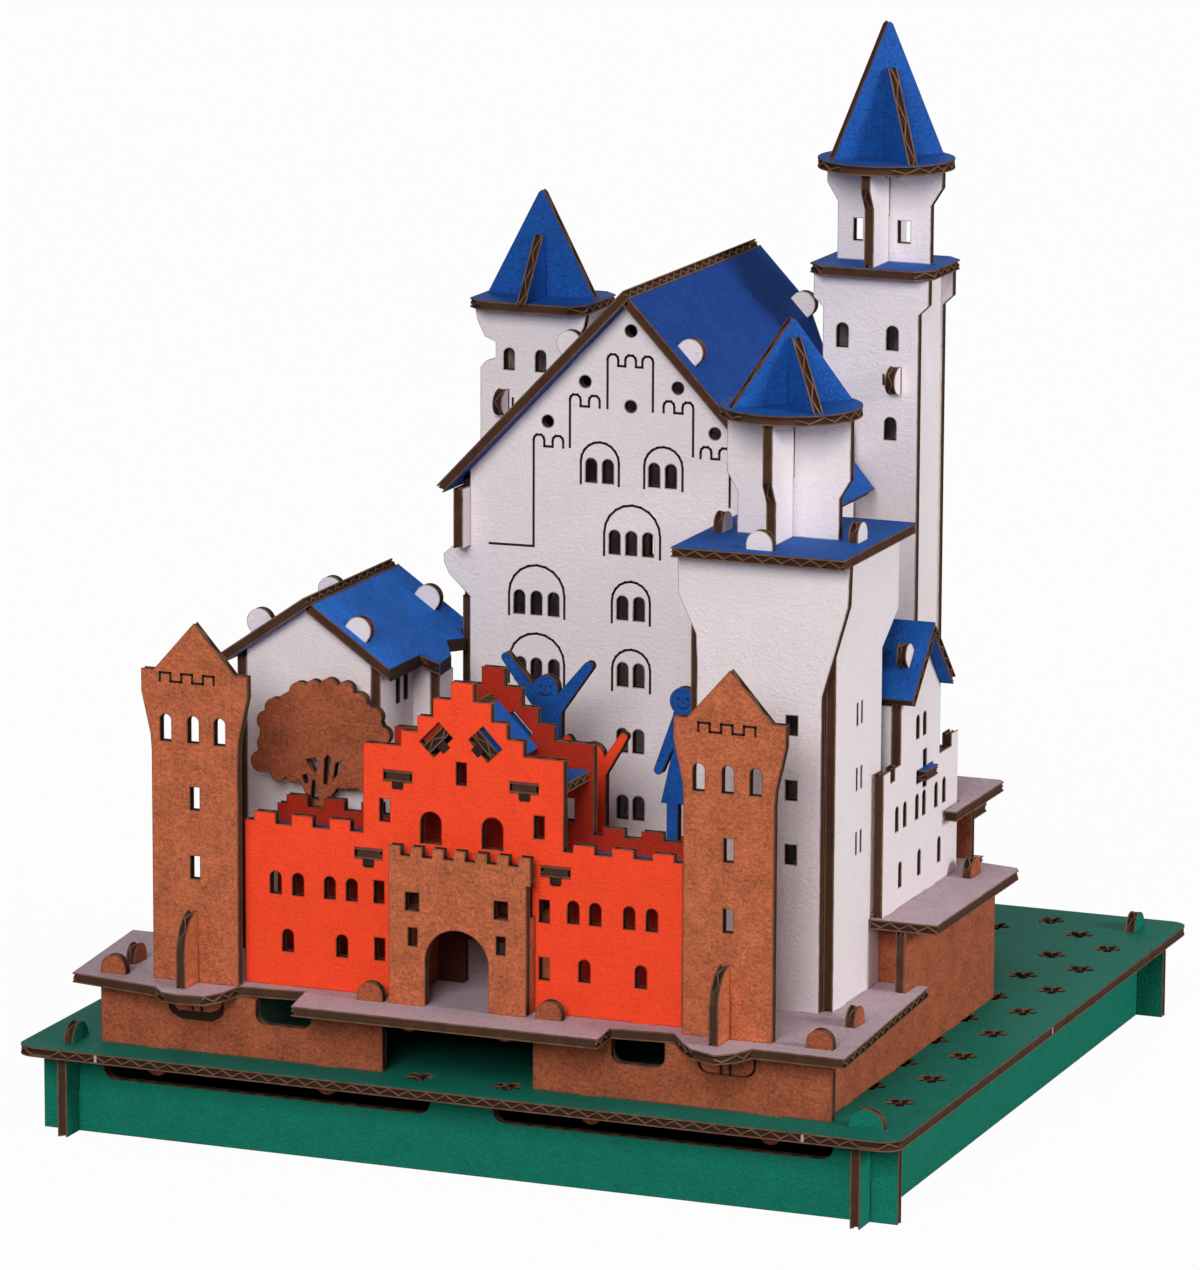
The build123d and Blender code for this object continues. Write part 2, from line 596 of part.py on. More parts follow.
HOUSE_END = HOUSE_BACK_Y + BOARD
HOUSE_SIDE_L = HOUSE_AXIS - HOUSE_HALF - BOARD
HOUSE_SIDE_R = HOUSE_AXIS + HOUSE_HALF
left_side = house_side(HOUSE_END) + foot(-20.5, TERRACE_2)
pieces["house_side_left"] = side_board(left_side, HOUSE_SIDE_L)
right_side = rect(HOUSE_Y, -31.8, TERRACE_1, EAVE_IN) + foot(-36.0, TERRACE_1)
for y in (-38.0, -34.8):
    right_side -= arch(y, EAVE_IN - HOUSE_WINDOW_DROP, 1.6, 4.5)
pieces["house_side_right"] = side_board(right_side, HOUSE_SIDE_R)
low -= slot_y(HOUSE_SIDE_L, -36.0)
low -= slot_y(HOUSE_SIDE_R, -36.0)
mid -= slot_y(HOUSE_SIDE_L, -20.5)

BAY_Y = -31.8
BAY_X = -20.9
BAY_EAVE = HOUSE_RIDGE - (BOARD + (BAY_X + BOARD - HOUSE_AXIS) * sin(radians(HOUSE_PITCH))) / cos(radians(HOUSE_PITCH))
bay_face = gable(HOUSE_AXIS, 15.6, TERRACE_1, HOUSE_RIDGE, HOUSE_PITCH) & rect(HOUSE_SIDE_L + BOARD, BAY_X, 0, 90)
bay_face += foot(-30.0, TERRACE_1)
low -= slot_x(-30.0, BAY_Y)
pieces["house_cross"] = front_board(bay_face, BAY_Y)
pieces["house_bay"] = side_board(rect(BAY_Y, -26.3, TERRACE_1, BAY_EAVE), BAY_X)

left, right = roof_sections(*ROOF_H, HOUSE_EAVE / cos(radians(HOUSE_PITCH)), 24.0)
roof_l = front_board(left, HOUSE_ROOF_FRONT, HOUSE_ROOF_BACK - HOUSE_ROOF_FRONT)
roof_r = front_board(right, HOUSE_ROOF_FRONT, HOUSE_ROOF_BACK - HOUSE_ROOF_FRONT)
keep = poly((-60, HOUSE_ROOF_FRONT - 1), (-21.4, HOUSE_ROOF_FRONT - 1), (-21.4, -34.9), (-18.9, -32.4), (-19.3, -26.9),
            (-21.6, -23.3), (-20.7, -17.6), (-22.1, -16.3), (-22.1, -11.0), (-60, -11.0))
roof_r &= flat_board(keep, 0, 150)
for y in (HOUSE_Y, HOUSE_BACK_Y):
    roof_l -= front_board(roof_slot(*ROOF_H, -1, 10.0), y - FIT, BOARD + 2 * FIT)
    roof_r -= front_board(roof_slot(*ROOF_H, 1, 10.0), y - FIT, BOARD + 2 * FIT)
pieces["house_roof_left"] = roof_l
pieces["house_roof_right"] = roof_r

# Palace
ROOF_P = (PALACE_AXIS, PALACE_RIDGE, PALACE_PITCH)
palace_gable = gable(PALACE_AXIS, PALACE_HALF, TERRACE_2, PALACE_RIDGE, PALACE_PITCH) & rect(-60, PALACE_R, 0, 200)
for side in (-1, 1):
    palace_gable += roof_tab(*ROOF_P, side, 14.3)
PALACE_L = PALACE_AXIS - PALACE_HALF
PALACE_FEET = (-10.0, 25.0)
face = palace_gable
face += poly((PALACE_L + 1, 82.0), (PALACE_L, 81.9), (PALACE_L - 3.6, 85.2), (PALACE_L - 4.6, 87.2), (PALACE_L - 4.7, 88.6),
             (PALACE_L - 3.2, 90.0), (PALACE_L, 90.2), (PALACE_L + 1, 90.2))
for x, z in ((7.8, 127.5), (-0.1, 118.75), (15.9, 118.75), (-6.6, 111.8), (7.8, 115.2), (22.3, 111.8)):
    face -= disc(x, z, 1.05)
for x, z in ((1.0, 102.3), (3.9, 102.3), (11.9, 102.3), (14.8, 102.3), (5.1, 90.8), (8.0, 90.8), (10.9, 90.8),
             (-11.5, 79.7), (-8.5, 79.7), (-5.5, 79.7), (6.5, 80.1), (9.4, 80.1), (-11.3, 68.6), (-8.5, 68.6),
             (-5.4, 68.6), (6.6, 69.1), (9.4, 69.1), (6.6, 58.2), (9.4, 58.2), (6.7, 47.1), (9.5, 47.1)):
    face -= arch(x, z, 2.0, 4.0)
back = palace_gable
for x in PALACE_FEET:
    face += foot(x, TERRACE_2)
    back += foot(x, TERRACE_2)
    mid -= slot_x(x, PALACE_Y)
    mid -= slot_x(x, PALACE_BACK_Y)
PALACE_CUT = TALL_Y - 0.3
TALL_NOTCH = 24.4
back -= rect(TALL_NOTCH, PALACE_R + 1, 0, 140)
for z in (60.0, 80.0, 100.0):
    for x in (-8.0, 7.5, 18.0):
        back -= arch(x, z, 2.4, 4.6)
pieces["palace_front"] = front_board(face, PALACE_Y)
pieces["palace_back"] = front_board(back, PALACE_BACK_Y)


def palace_eave(half):
    a = radians(PALACE_PITCH)
    return PALACE_RIDGE - (BOARD + (half + BOARD) * sin(a)) / cos(a)


PALACE_EAVE_IN = palace_eave(PALACE_HALF)
PALACE_END = PALACE_BACK_Y + BOARD
left_side = rect(-16.0, PALACE_END, TERRACE_2, PALACE_EAVE_IN)
left_side += rect(-20.0, -15.0, 90.3, PALACE_EAVE_IN - 1.0)
left_side -= rect(-17.1, PALACE_Y + BOARD + 0.1, 81.8, 90.3)
left_side += foot(0.0, TERRACE_2) + foot(25.0, TERRACE_2)
right_side = rect(PALACE_Y, PALACE_CUT - 0.2, TERRACE_2, palace_eave(PALACE_R - PALACE_AXIS))
right_side += foot(-5.0, TERRACE_2)
mid -= slot_y(PALACE_L - BOARD, 0.0)
mid -= slot_y(PALACE_L - BOARD, 25.0)
mid -= slot_y(PALACE_R, -5.0)
for y in (-2.0, 8.0, 18.0, 28.0):
    left_side -= arch(y, 84.0, 2.4, 4.6)
    left_side -= arch(y, 60.0, 2.4, 4.6)
pieces["palace_side_left"] = side_board(left_side, PALACE_L - BOARD)
pieces["palace_side_right"] = side_board(right_side, PALACE_R)

RUN = 1 / cos(radians(PALACE_PITCH))
left, right = roof_sections(*ROOF_P, PALACE_EAVE_L * RUN, PALACE_EAVE_R * RUN)
depth = PALACE_ROOF_BACK - PALACE_ROOF_FRONT
roof_l = front_board(left, PALACE_ROOF_FRONT, depth)
roof_r = front_board(right, PALACE_ROOF_FRONT, depth)
notch = rect(TALL_NOTCH - 0.3, 60, PALACE_CUT, 60) + poly((16.5, 41), (24.0, 30.5), (24.2, 41))
roof_r -= flat_board(notch, 0, 200)
for y in (PALACE_Y, PALACE_BACK_Y):
    roof_l -= front_board(roof_slot(*ROOF_P, -1, 14.3), y - FIT, BOARD + 2 * FIT)
    roof_r -= front_board(roof_slot(*ROOF_P, 1, 14.3), y - FIT, BOARD + 2 * FIT)
AWNING_TOP = 101.6
AWNING_FALL = 4.4
AWNING_OUT = 3.7
WALL_FACE = PALACE_R + BOARD
awning = poly((WALL_FACE, AWNING_TOP), (WALL_FACE + AWNING_OUT, AWNING_TOP - AWNING_FALL),
              (WALL_FACE + AWNING_OUT - 1.3, AWNING_TOP - AWNING_FALL - 1.1), (WALL_FACE, AWNING_TOP - 2.65))
pieces["palace_awning"] = front_board(awning, 4.0, PALACE_CUT - 4.2)
pieces["palace_roof_left"] = roof_l
pieces["palace_roof_right"] = roof_r


# Round turrets: crossed panels, discs and crossed cone panels
CONE_LAND = 1.9
CONE_DROP = 7.6
TURRET_DROP = 3.0


def cross_panel(lower, upper, step_z, z0, z1, lap_z, from_top):
    shape = poly((-lower, z0), (lower, z0), (lower, step_z), (upper, step_z + 3.0), (upper, z1), (-upper, z1),
                 (-upper, step_z + 3.0), (-lower, step_z))
    for side in (-1, 1):
        shape -= disc(side * 2.2, z1, 1.4)
    if from_top:
        return shape - half_lap(0, lap_z, z1 + 1)
    return shape - half_lap(0, z0 - 1, lap_z)


def cross_pair(x, y, lower, upper, step_z, z0, z1):
    lap = (z0 + z1) / 2
    a = Pos(x, y, 0) * front_board(cross_panel(lower, upper, step_z, z0, z1, lap, True), -HALF)
    b = Pos(x, y, 0) * side_board(cross_panel(lower, upper, step_z, z0, z1, lap, False), -HALF)
    return [a, b]


def cone_pair(x, y, radius, z0, height, drop, turn):
    apex = z0 + height
    low_apex = apex - drop
    lap = z0 + (low_apex - z0) * 0.5
    full = poly((-radius, z0), (radius, z0), (0.5, apex - 0.4), (0, apex), (-0.5, apex - 0.4))
    lower = poly((-radius, z0), (radius, z0), (CONE_LAND, low_apex), (-CONE_LAND, low_apex))
    a = front_board(full - half_lap(0, z0 - 1, lap), -HALF)
    b = side_board(lower - half_lap(0, lap, apex), -HALF)
    place = Pos(x, y, 0) * Rot(0, 0, turn)
    return [place * a, place * b]


def octagon(x0, x1, y0, y1, c):
    return poly((x0 + c, y0), (x1 - c, y0), (x1, y0 + c), (x1, y1 - c), (x1 - c, y1), (x0 + c, y1), (x0, y1 - c),
                (x0, y0 + c))


# Square tower and its turret
sq = poly((SQUARE_L, TERRACE_1), (SQUARE_R, TERRACE_1), (SQUARE_R, 77.4), (54.6, 85.6), (56.4, 92.0), (56.6, SQUARE_TOP),
          (28.0, SQUARE_TOP), (28.2, 92.0), (31.2, 85.8), (SQUARE_L, 81.0))
sq_face = sq + tab_up(41.6, SQUARE_TOP)
for z in (50.2, 60.5, 70.9):
    sq_face -= rect(46.3, 48.3, z, z + 3.2)
SQ_IN = SQUARE_Y + BOARD
SQ_BACK_IN = -27.6
sq_back = rect(SQUARE_L, SQUARE_R, TERRACE_1, SQUARE_TOP)
for x in (36.0, 47.0):
    sq_face += foot(x, TERRACE_1)
    sq_back += foot(x, TERRACE_1)
    low -= slot_x(x, SQUARE_Y)
    low -= slot_x(x, SQ_BACK_IN)
pieces["square_tower_front"] = front_board(sq_face, SQUARE_Y)
pieces["square_tower_back"] = front_board(sq_back, SQ_BACK_IN)
SQ_RIGHT = 52.3
SQ_LEFT = 29.7
sq_side = poly((SQ_IN, TERRACE_1), (SQUARE_BACK, TERRACE_1), (SQUARE_BACK, 81.0), (-17.6, 86.0), (-17.4, SQUARE_TOP),
               (SQ_IN, SQUARE_TOP))
sq_side += tab_up(-34.8, SQUARE_TOP)
for z in (49.8, 60.2, 70.7):
    for y in (-36.3, -34.2):
        sq_side -= rect(y - 0.35, y + 0.35, z, z + 3.6)
for y in (-42.0, -30.0):
    sq_side += foot(y, TERRACE_1)
    low -= slot_y(SQ_RIGHT, y)
    low -= slot_y(SQ_LEFT, y)
pieces["square_tower_sides"] = [side_board(sq_side, SQ_RIGHT), side_board(sq_side, SQ_LEFT)]
SQ_DECK = SQUARE_TOP + BOARD
deck = rect(28.0, 56.7, -51.0, PALACE_Y - FIT)
deck -= slot_x(41.6, SQUARE_Y)
deck -= slot_y(SQ_RIGHT, -34.8)
deck -= slot_y(SQ_LEFT, -34.8)
pieces["square_tower_deck"] = flat_board(deck, SQUARE_TOP)
TURRET_TOP = SQ_DECK + TURRET_H
TURRET_STEP_Z = SQ_DECK + 0.342 * TURRET_H
pieces["turret_panels"] = cross_pair(TURRET_X, TURRET_Y, 8.5, 10.3, TURRET_STEP_Z, SQ_DECK, TURRET_TOP)
pieces["turret_cone"] = cone_pair(TURRET_X, TURRET_Y, 10.4, TURRET_TOP + BOARD, TURRET_CONE_H, TURRET_DROP, 45)

# Tall tower
TALL_BACK = TALL_Y + TALL_DEPTH
TALL_CY = TALL_Y + TALL_DEPTH / 2 + HALF
tall = poly((TALL_X - 8.3, TERRACE_2), (TALL_X + 8.3, TERRACE_2), (TALL_X + 8.3, 126.4), (TALL_X + 10.0, 128.0),
            (TALL_X + 10.0, TALL_TOP), (TALL_X - 10.0, TALL_TOP), (TALL_X - 10.0, 128.4), (TALL_X - 8.3, 126.8))
for x in (-4.9, 3.8):
    tall -= arch(TALL_X + x, 120.3, 2.1, 4.1)
tall -= arch(TALL_X + 3.6, 105.4, 2.1, 3.8)
HEX = ((-1.0, -2.3), (1.0, -2.3), (2.0, 0.0), (1.0, 2.3), (-1.0, 2.3), (-2.0, 0.0))
tall -= poly(*[(TALL_X + 4.0 + x, 115.3 + z) for x, z in HEX])
for x in (-5.0, 5.0):
    tall += foot(TALL_X + x, TERRACE_2)
    mid -= slot_x(TALL_X + x, TALL_Y)
    mid -= slot_x(TALL_X + x, TALL_BACK)
pieces["tall_tower_faces"] = [front_board(tall, TALL_Y), front_board(tall, TALL_BACK)]
TALL_IN = TALL_Y + BOARD
tall_side = rect(TALL_IN, TALL_BACK, TERRACE_2, TALL_TOP)
tall_side -= arch(TALL_CY - 0.5, 113.5, 2.0, 4.0)
tall_side += foot(TALL_CY, TERRACE_2)
TALL_SIDE_R = TALL_X + 8.3 - 0.3 - BOARD
TALL_SIDE_L = TALL_X - 8.3 + 0.3
mid -= slot_y(TALL_SIDE_R, TALL_CY)
mid -= slot_y(TALL_SIDE_L, TALL_CY)
pieces["tall_tower_sides"] = [side_board(tall_side, TALL_SIDE_R), side_board(tall_side, TALL_SIDE_L)]
TALL_DECK = TALL_TOP + BOARD
TALL_HEAD_TOP = TALL_DECK + TALL_HEAD_H
TALL_STEP_Z = TALL_DECK + 0.62 * TALL_HEAD_H
head, head_cross = cross_pair(TALL_X, TALL_CY, 8.1, 10.0, TALL_STEP_Z, TALL_DECK, TALL_HEAD_TOP)
for x, w in ((-4.5, 1.6), (3.5, 2.2)):
    window = rect(TALL_X + x - w / 2, TALL_X + x + w / 2, TALL_DECK + 3.2, TALL_DECK + 6.9)
    head -= front_board(window, TALL_CY - BOARD, 2 * BOARD)
pieces["tall_top_panels"] = [head, head_cross]
pieces["tall_cone"] = cone_pair(TALL_X, TALL_CY, 10.1, TALL_HEAD_TOP + BOARD, TALL_CONE_H, CONE_DROP, 45)

# Back tower
bt = poly((BACK_X - 9.2, TERRACE_2), (BACK_X + 9.2, TERRACE_2), (BACK_X + 9.2, 109.2), (BACK_X + 8.2, 110.4),
          (BACK_X + 6.4, 111.0), (BACK_X + 6.4, 113.8), (BACK_X + 8.4, 114.6), (BACK_X + 9.8, 117.4),
          (BACK_X + 10.2, BACK_TOP), (BACK_X - 10.2, BACK_TOP), (BACK_X - 9.8, 117.4), (BACK_X - 8.4, 114.6),
          (BACK_X - 6.4, 113.8), (BACK_X - 6.4, 111.0), (BACK_X - 8.2, 110.4), (BACK_X - 9.2, 109.2))
for x in (-3.9, 1.9):
    bt -= arch(BACK_X + x, 109.1, 2.0, 3.8)
bt -= poly(*[(BACK_X - 5.4 + x, 103.2 + z) for x, z in HEX])
BACK_BACK = BACK_Y + 9.6
for x in (-5.0, 5.0):
    bt += foot(BACK_X + x, TERRACE_2)
    mid -= slot_x(BACK_X + x, BACK_Y)
    mid -= slot_x(BACK_X + x, BACK_BACK)
pieces["back_tower_faces"] = [front_board(bt, BACK_Y), front_board(bt, BACK_BACK)]
bt_side = rect(BACK_Y + BOARD, BACK_BACK, TERRACE_2, BACK_TOP)
BACK_CY = BACK_Y + 5.65
bt_side += foot(BACK_CY, TERRACE_2)
mid -= slot_y(BACK_X - 6.2, BACK_CY)
mid -= slot_y(BACK_X + 4.5, BACK_CY)
pieces["back_tower_sides"] = [side_board(bt_side, BACK_X - 6.2), side_board(bt_side, BACK_X + 4.5)]
pieces["back_tower_cone"] = cone_pair(BACK_X, BACK_CY, 9.9, BACK_TOP + BOARD, BACK_CONE_H, CONE_DROP, 0)

deck = octagon(-DECK_W / 2, DECK_W / 2, -DECK_D / 2, DECK_D / 2, 2.6)
pieces["octagon_decks"] = [Pos(TALL_X, TALL_CY, 0) * flat_board(deck, TALL_TOP),
                           Pos(BACK_X, BACK_CY, 0) * flat_board(deck, BACK_TOP)]
round_plate = Circle(DISC_R)
pieces["round_plates"] = [Pos(TURRET_X, TURRET_Y, 0) * flat_board(round_plate, TURRET_TOP),
                          Pos(TALL_X, TALL_CY, 0) * flat_board(round_plate, TALL_HEAD_TOP)]

# Wing
ROOF_W = (WING_AXIS, WING_RIDGE, WING_PITCH)
wing = gable(WING_AXIS, WING_HALF, TERRACE_2, WING_RIDGE, WING_PITCH)
wing += rect(WING_FRONT, WING_BACK, TERRACE_2, 59.4)
for y in (WING_FRONT, WING_FRONT + 5.4, WING_BACK - 3.2):
    wing += rect(y, y + 3.2, 59.0, 61.4)
for side in (-1, 1):
    wing += roof_tab(*ROOF_W, side, 7.2, 3.6)
for y in (-13.4, -10.1):
    wing -= arch(y, 64.0, 1.6, 3.9)
for y in (-23.0, -19.2, -13.4, -10.0, -4.1, -0.2):
    wing -= arch(y, 50.8, 1.6, 4.1)
for y in (-21.2, -12.0, -2.3):
    wing -= arch(y, 41.3, 1.6, 4.2)
wing -= rect(-13.8, -5.8, WING_DECK - 0.4, WING_DECK + BOARD + FIT) + rect(-10.7, -8.9, 55.4, 61.6)
for y in (-25.0, -6.0):
    wing += foot(y, TERRACE_2)
    mid -= slot_y(WING_X, y)
pieces["wing_wall"] = side_board(wing, WING_X)

WING_L = PALACE_R + BOARD
WING_LAP = 46.0
WING_EAVE_IN = WING_RIDGE - (BOARD + WING_HALF * sin(radians(WING_PITCH))) / cos(radians(WING_PITCH))
WING_ENDS = (WING_AXIS - WING_HALF, WING_AXIS + WING_HALF - BOARD)
end = rect(WING_L, WING_X, TERRACE_2, WING_EAVE_IN)
end -= rect(WING_L - 1, WING_LAP + FIT, WING_DECK - FIT, WING_DECK + BOARD + FIT)
end += foot(46.0, TERRACE_2)
pieces["wing_ends"] = [front_board(end, y) for y in WING_ENDS]
deck = rect(WING_L, WING_X, CROSS_Y + 0.2, WING_BACK) + rect(WING_X - 1, WING_X + 3.0, -12.6, -7.0)
for y in WING_ENDS:
    deck -= rect(WING_LAP - FIT, WING_X + 1, y - FIT, y + BOARD + FIT)
    mid -= slot_x(46.0, y)
pieces["wing_deck"] = flat_board(deck, WING_DECK)
left, right = roof_sections(*ROOF_W, 15.0, 15.0)
W_ROOF_END = 58.3
roof = []
for side, section in ((-1, left), (1, right)):
    slope = side_board(section, WING_L, W_ROOF_END - WING_L)
    slope -= side_board(roof_slot(*ROOF_W, side, 7.2, 3.6), WING_X - FIT, BOARD + 2 * FIT)
    roof.append(slope)
pieces["wing_roof_slopes"] = roof

pieces["terrace_low"] = flat_board(low, T1_UNDER)
pieces["terrace_middle"] = flat_board(mid, T2_UNDER)
pieces["terrace_high"] = flat_board(high, T3_UNDER)


def as_list(item):
    return item if isinstance(item, list) else [item]


CENTRE = Pos(0, -(APRON_Y + BASE / 2) / 2, 0)

os.makedirs("parts", exist_ok=True)
for name, item in pieces.items():
    solids = []
    for shape in as_list(item):
        solids.extend((CENTRE * shape).solids())
    body = solids[0] if len(solids) == 1 else Compound(children=solids)
    body.label = name
    export_step(body, "parts/" + name + ".step")
    print(name, len(solids))
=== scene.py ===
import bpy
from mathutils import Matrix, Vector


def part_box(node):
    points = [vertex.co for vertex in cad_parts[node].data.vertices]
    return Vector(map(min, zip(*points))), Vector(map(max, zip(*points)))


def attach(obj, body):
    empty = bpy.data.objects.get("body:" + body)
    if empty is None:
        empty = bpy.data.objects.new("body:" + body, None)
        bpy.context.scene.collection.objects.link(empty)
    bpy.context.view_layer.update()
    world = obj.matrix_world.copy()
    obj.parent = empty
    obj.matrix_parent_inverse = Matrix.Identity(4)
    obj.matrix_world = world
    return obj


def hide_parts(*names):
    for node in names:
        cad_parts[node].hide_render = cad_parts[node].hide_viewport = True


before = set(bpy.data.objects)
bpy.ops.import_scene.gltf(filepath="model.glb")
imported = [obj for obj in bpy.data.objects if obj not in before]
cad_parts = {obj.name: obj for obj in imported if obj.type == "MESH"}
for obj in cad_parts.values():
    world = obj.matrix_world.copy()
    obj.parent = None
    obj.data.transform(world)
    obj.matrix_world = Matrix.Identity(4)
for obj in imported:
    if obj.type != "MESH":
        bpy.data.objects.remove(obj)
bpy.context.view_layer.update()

"""Looks of a castle put together from slotted corrugated board.

Each CAD board is rebuilt with two liners, a recessed core and the flutes that show along its cut edge,
then printed, scorched at the rim and drawn on. Lengths inside the builders are millimetres.
"""

import logging
import math
from dataclasses import dataclass, field
from enum import Enum

import bmesh
import bpy
from mathutils import Matrix, Vector

log = logging.getLogger("castle")

MM = 0.001
ROOT = "root"
UV_NAME = "board"

# Corrugated board
LINER = 0.28
GROOVE = 0.36
SIDE_GROOVE = 0.12
RIM = 0.15
CRUSH = 0.04
FLUTE_PITCH = 3.2
FLUTE_SHEET = 0.24
FLUTE_SWING = 0.45
FLUTE_SETBACK = 0.07
SHORTEST_RUN = 2.2
THICKEST_BOARD = 2.4
LEAST_CROSSING = 0.42
MERGE = 0.002
CUT = 0.0001
PREFERRED_SIDE = Vector((1.0, 2.0, 3.0))

# Depth of the bumps, in metres
PAPER_BUMP = 0.00013
RIM_BUMP = 0.00004
CUT_BUMP = 0.00005
LINE_BUMP = 0.00003

# Drawn lines
LINE_WIDTH = 0.4
THIN_WIDTH = 0.18
LINE_DEPTH = 0.06
LINE_PROUD = 0.02


class Grain(Enum):
    """Way in which the flutes of a board run."""

    ACROSS = (1.0, 0.0, 0.0)
    DEEP = (0.0, 1.0, 0.0)
    UP = (0.0, 0.0, 1.0)

    def on(self, normal: Vector) -> Vector:
        """Lays the flute direction into the plane of a board.

        Args:
            normal: direction across the board

        Returns:
            the direction in the board
        """
        way = Vector(self.value)
        return (way - normal * way.dot(normal)).normalized()


class Part(Enum):
    """Stretches of a board's surface, by material index."""

    FACE = 0
    RIM = 1
    LINER = 2
    HOLLOW = 3
    SIDE = 4


@dataclass(frozen=True)
class Finish:
    """Print on the faces of a board.

    Args:
        slot: the record's material slot
        colour: linear colour of the print
        fibre: strength of the paper's long fibres
        fleck: strength of the print's fine speckle
        rib: how far the flutes show through the face
        tone: added to the material's name where a sheet is lighter or deeper than the others
    """

    slot: str
    colour: tuple[float, float, float]
    fibre: float
    fleck: float
    rib: float = 0.10
    tone: str = ""


def srgb(red: int, green: int, blue: int) -> tuple[float, float, float]:
    """Turns an 8-bit screen colour into a linear one.

    Args:
        red: red, 0 to 255
        green: green, 0 to 255
        blue: blue, 0 to 255

    Returns:
        the linear colour
    """
    def linear(value: int) -> float:
        """One channel, linear."""
        part = value / 255
        return part / 12.92 if part <= 0.04045 else ((part + 0.055) / 1.055) ** 2.4
    return linear(red), linear(green), linear(blue)


GREEN = Finish("green_board", srgb(0, 118, 97), 0.20, 0.60)
DEEP_GREEN = Finish("green_board", srgb(0, 108, 90), 0.20, 0.60, tone="_deep")
KRAFT = Finish("kraft_board", srgb(184, 100, 64), 0.48, 0.95)
# The deeper kraft also serves as painted shade on the gate's passage sides
DEEP_KRAFT = Finish("kraft_board", srgb(160, 85, 55), 0.48, 0.95, tone="_deep")
STONE = Finish("stone_board", srgb(181, 158, 166), 0.18, 0.45)
ORANGE = Finish("orange_board", srgb(255, 74, 36), 0.12, 0.30)
# Dark orange for painted shade on the gate walls, behind the porch and in the passage
SHADED_ORANGE = Finish("orange_board", srgb(66, 24, 14), 0.12, 0.30, tone="_shaded")
# The back gate wall's deeper orange is painted shade: that wall stands in the front wall's shadow
BACK_WALL_PAINTED_SHADE_ORANGE = Finish("orange_board", srgb(172, 38, 14), 0.12, 0.30, tone="_deep")
BLUE = Finish("blue_board", srgb(16, 80, 160), 0.34, 0.95)
# The palace roof's deeper blue is painted shade, for a roof that gets less light
PALACE_ROOF_PAINTED_SHADE_BLUE = Finish("blue_board", srgb(6, 60, 136), 0.38, 1.0, tone="_deep")
# The house roof's clearer blue is painted light, for a house that gets more light
HOUSE_ROOF_PAINTED_LIGHT_BLUE = Finish("blue_board", srgb(22, 102, 196), 0.32, 0.9, tone="_clear")
WHITE = Finish("white_board", srgb(237, 227, 230), 0.04, 0.07)

SCORCH = srgb(62, 38, 26)
CUT_LINER = srgb(146, 106, 78)
CUT_SIDE = srgb(84, 56, 40)
# Deepest brown of the cut edge: scorch, with painted shade of the open flute channels
CUT_HOLLOW = srgb(40, 27, 21)


class NodeTree:
    """Short way to add and join shader nodes."""

    def __init__(self, tree: bpy.types.NodeTree) -> None:
        self.tree = tree

    def add(self, kind: str, inputs: dict | None = None, **settings) -> bpy.types.Node:
        """Adds a node.

        Args:
            kind: node type
            inputs: constants or output sockets, by input name or number
            settings: properties of the node

        Returns:
            the node
        """
        node = self.tree.nodes.new(kind)
        for name, value in settings.items():
            setattr(node, name, value)
        for name, value in (inputs or {}).items():
            socket = node.inputs[name]
            if isinstance(value, bpy.types.NodeSocket):
                self.tree.links.new(value, socket)
            else:
                socket.default_value = value
        return node

    def math(self, operation: str, first, second=0.0) -> bpy.types.NodeSocket:
        """Output of a math node."""
        node = self.add("ShaderNodeMath", {0: first, 1: second}, operation=operation)
        return node.outputs[0]

    def noise(self, vector, scale: float, detail: float = 2.0, rough: float = 0.5) -> bpy.types.NodeSocket:
        """Factor output of a noise texture."""
        values = {"Vector": vector, "Scale": scale, "Detail": detail, "Roughness": rough}
        return self.add("ShaderNodeTexNoise", values).outputs["Fac"]


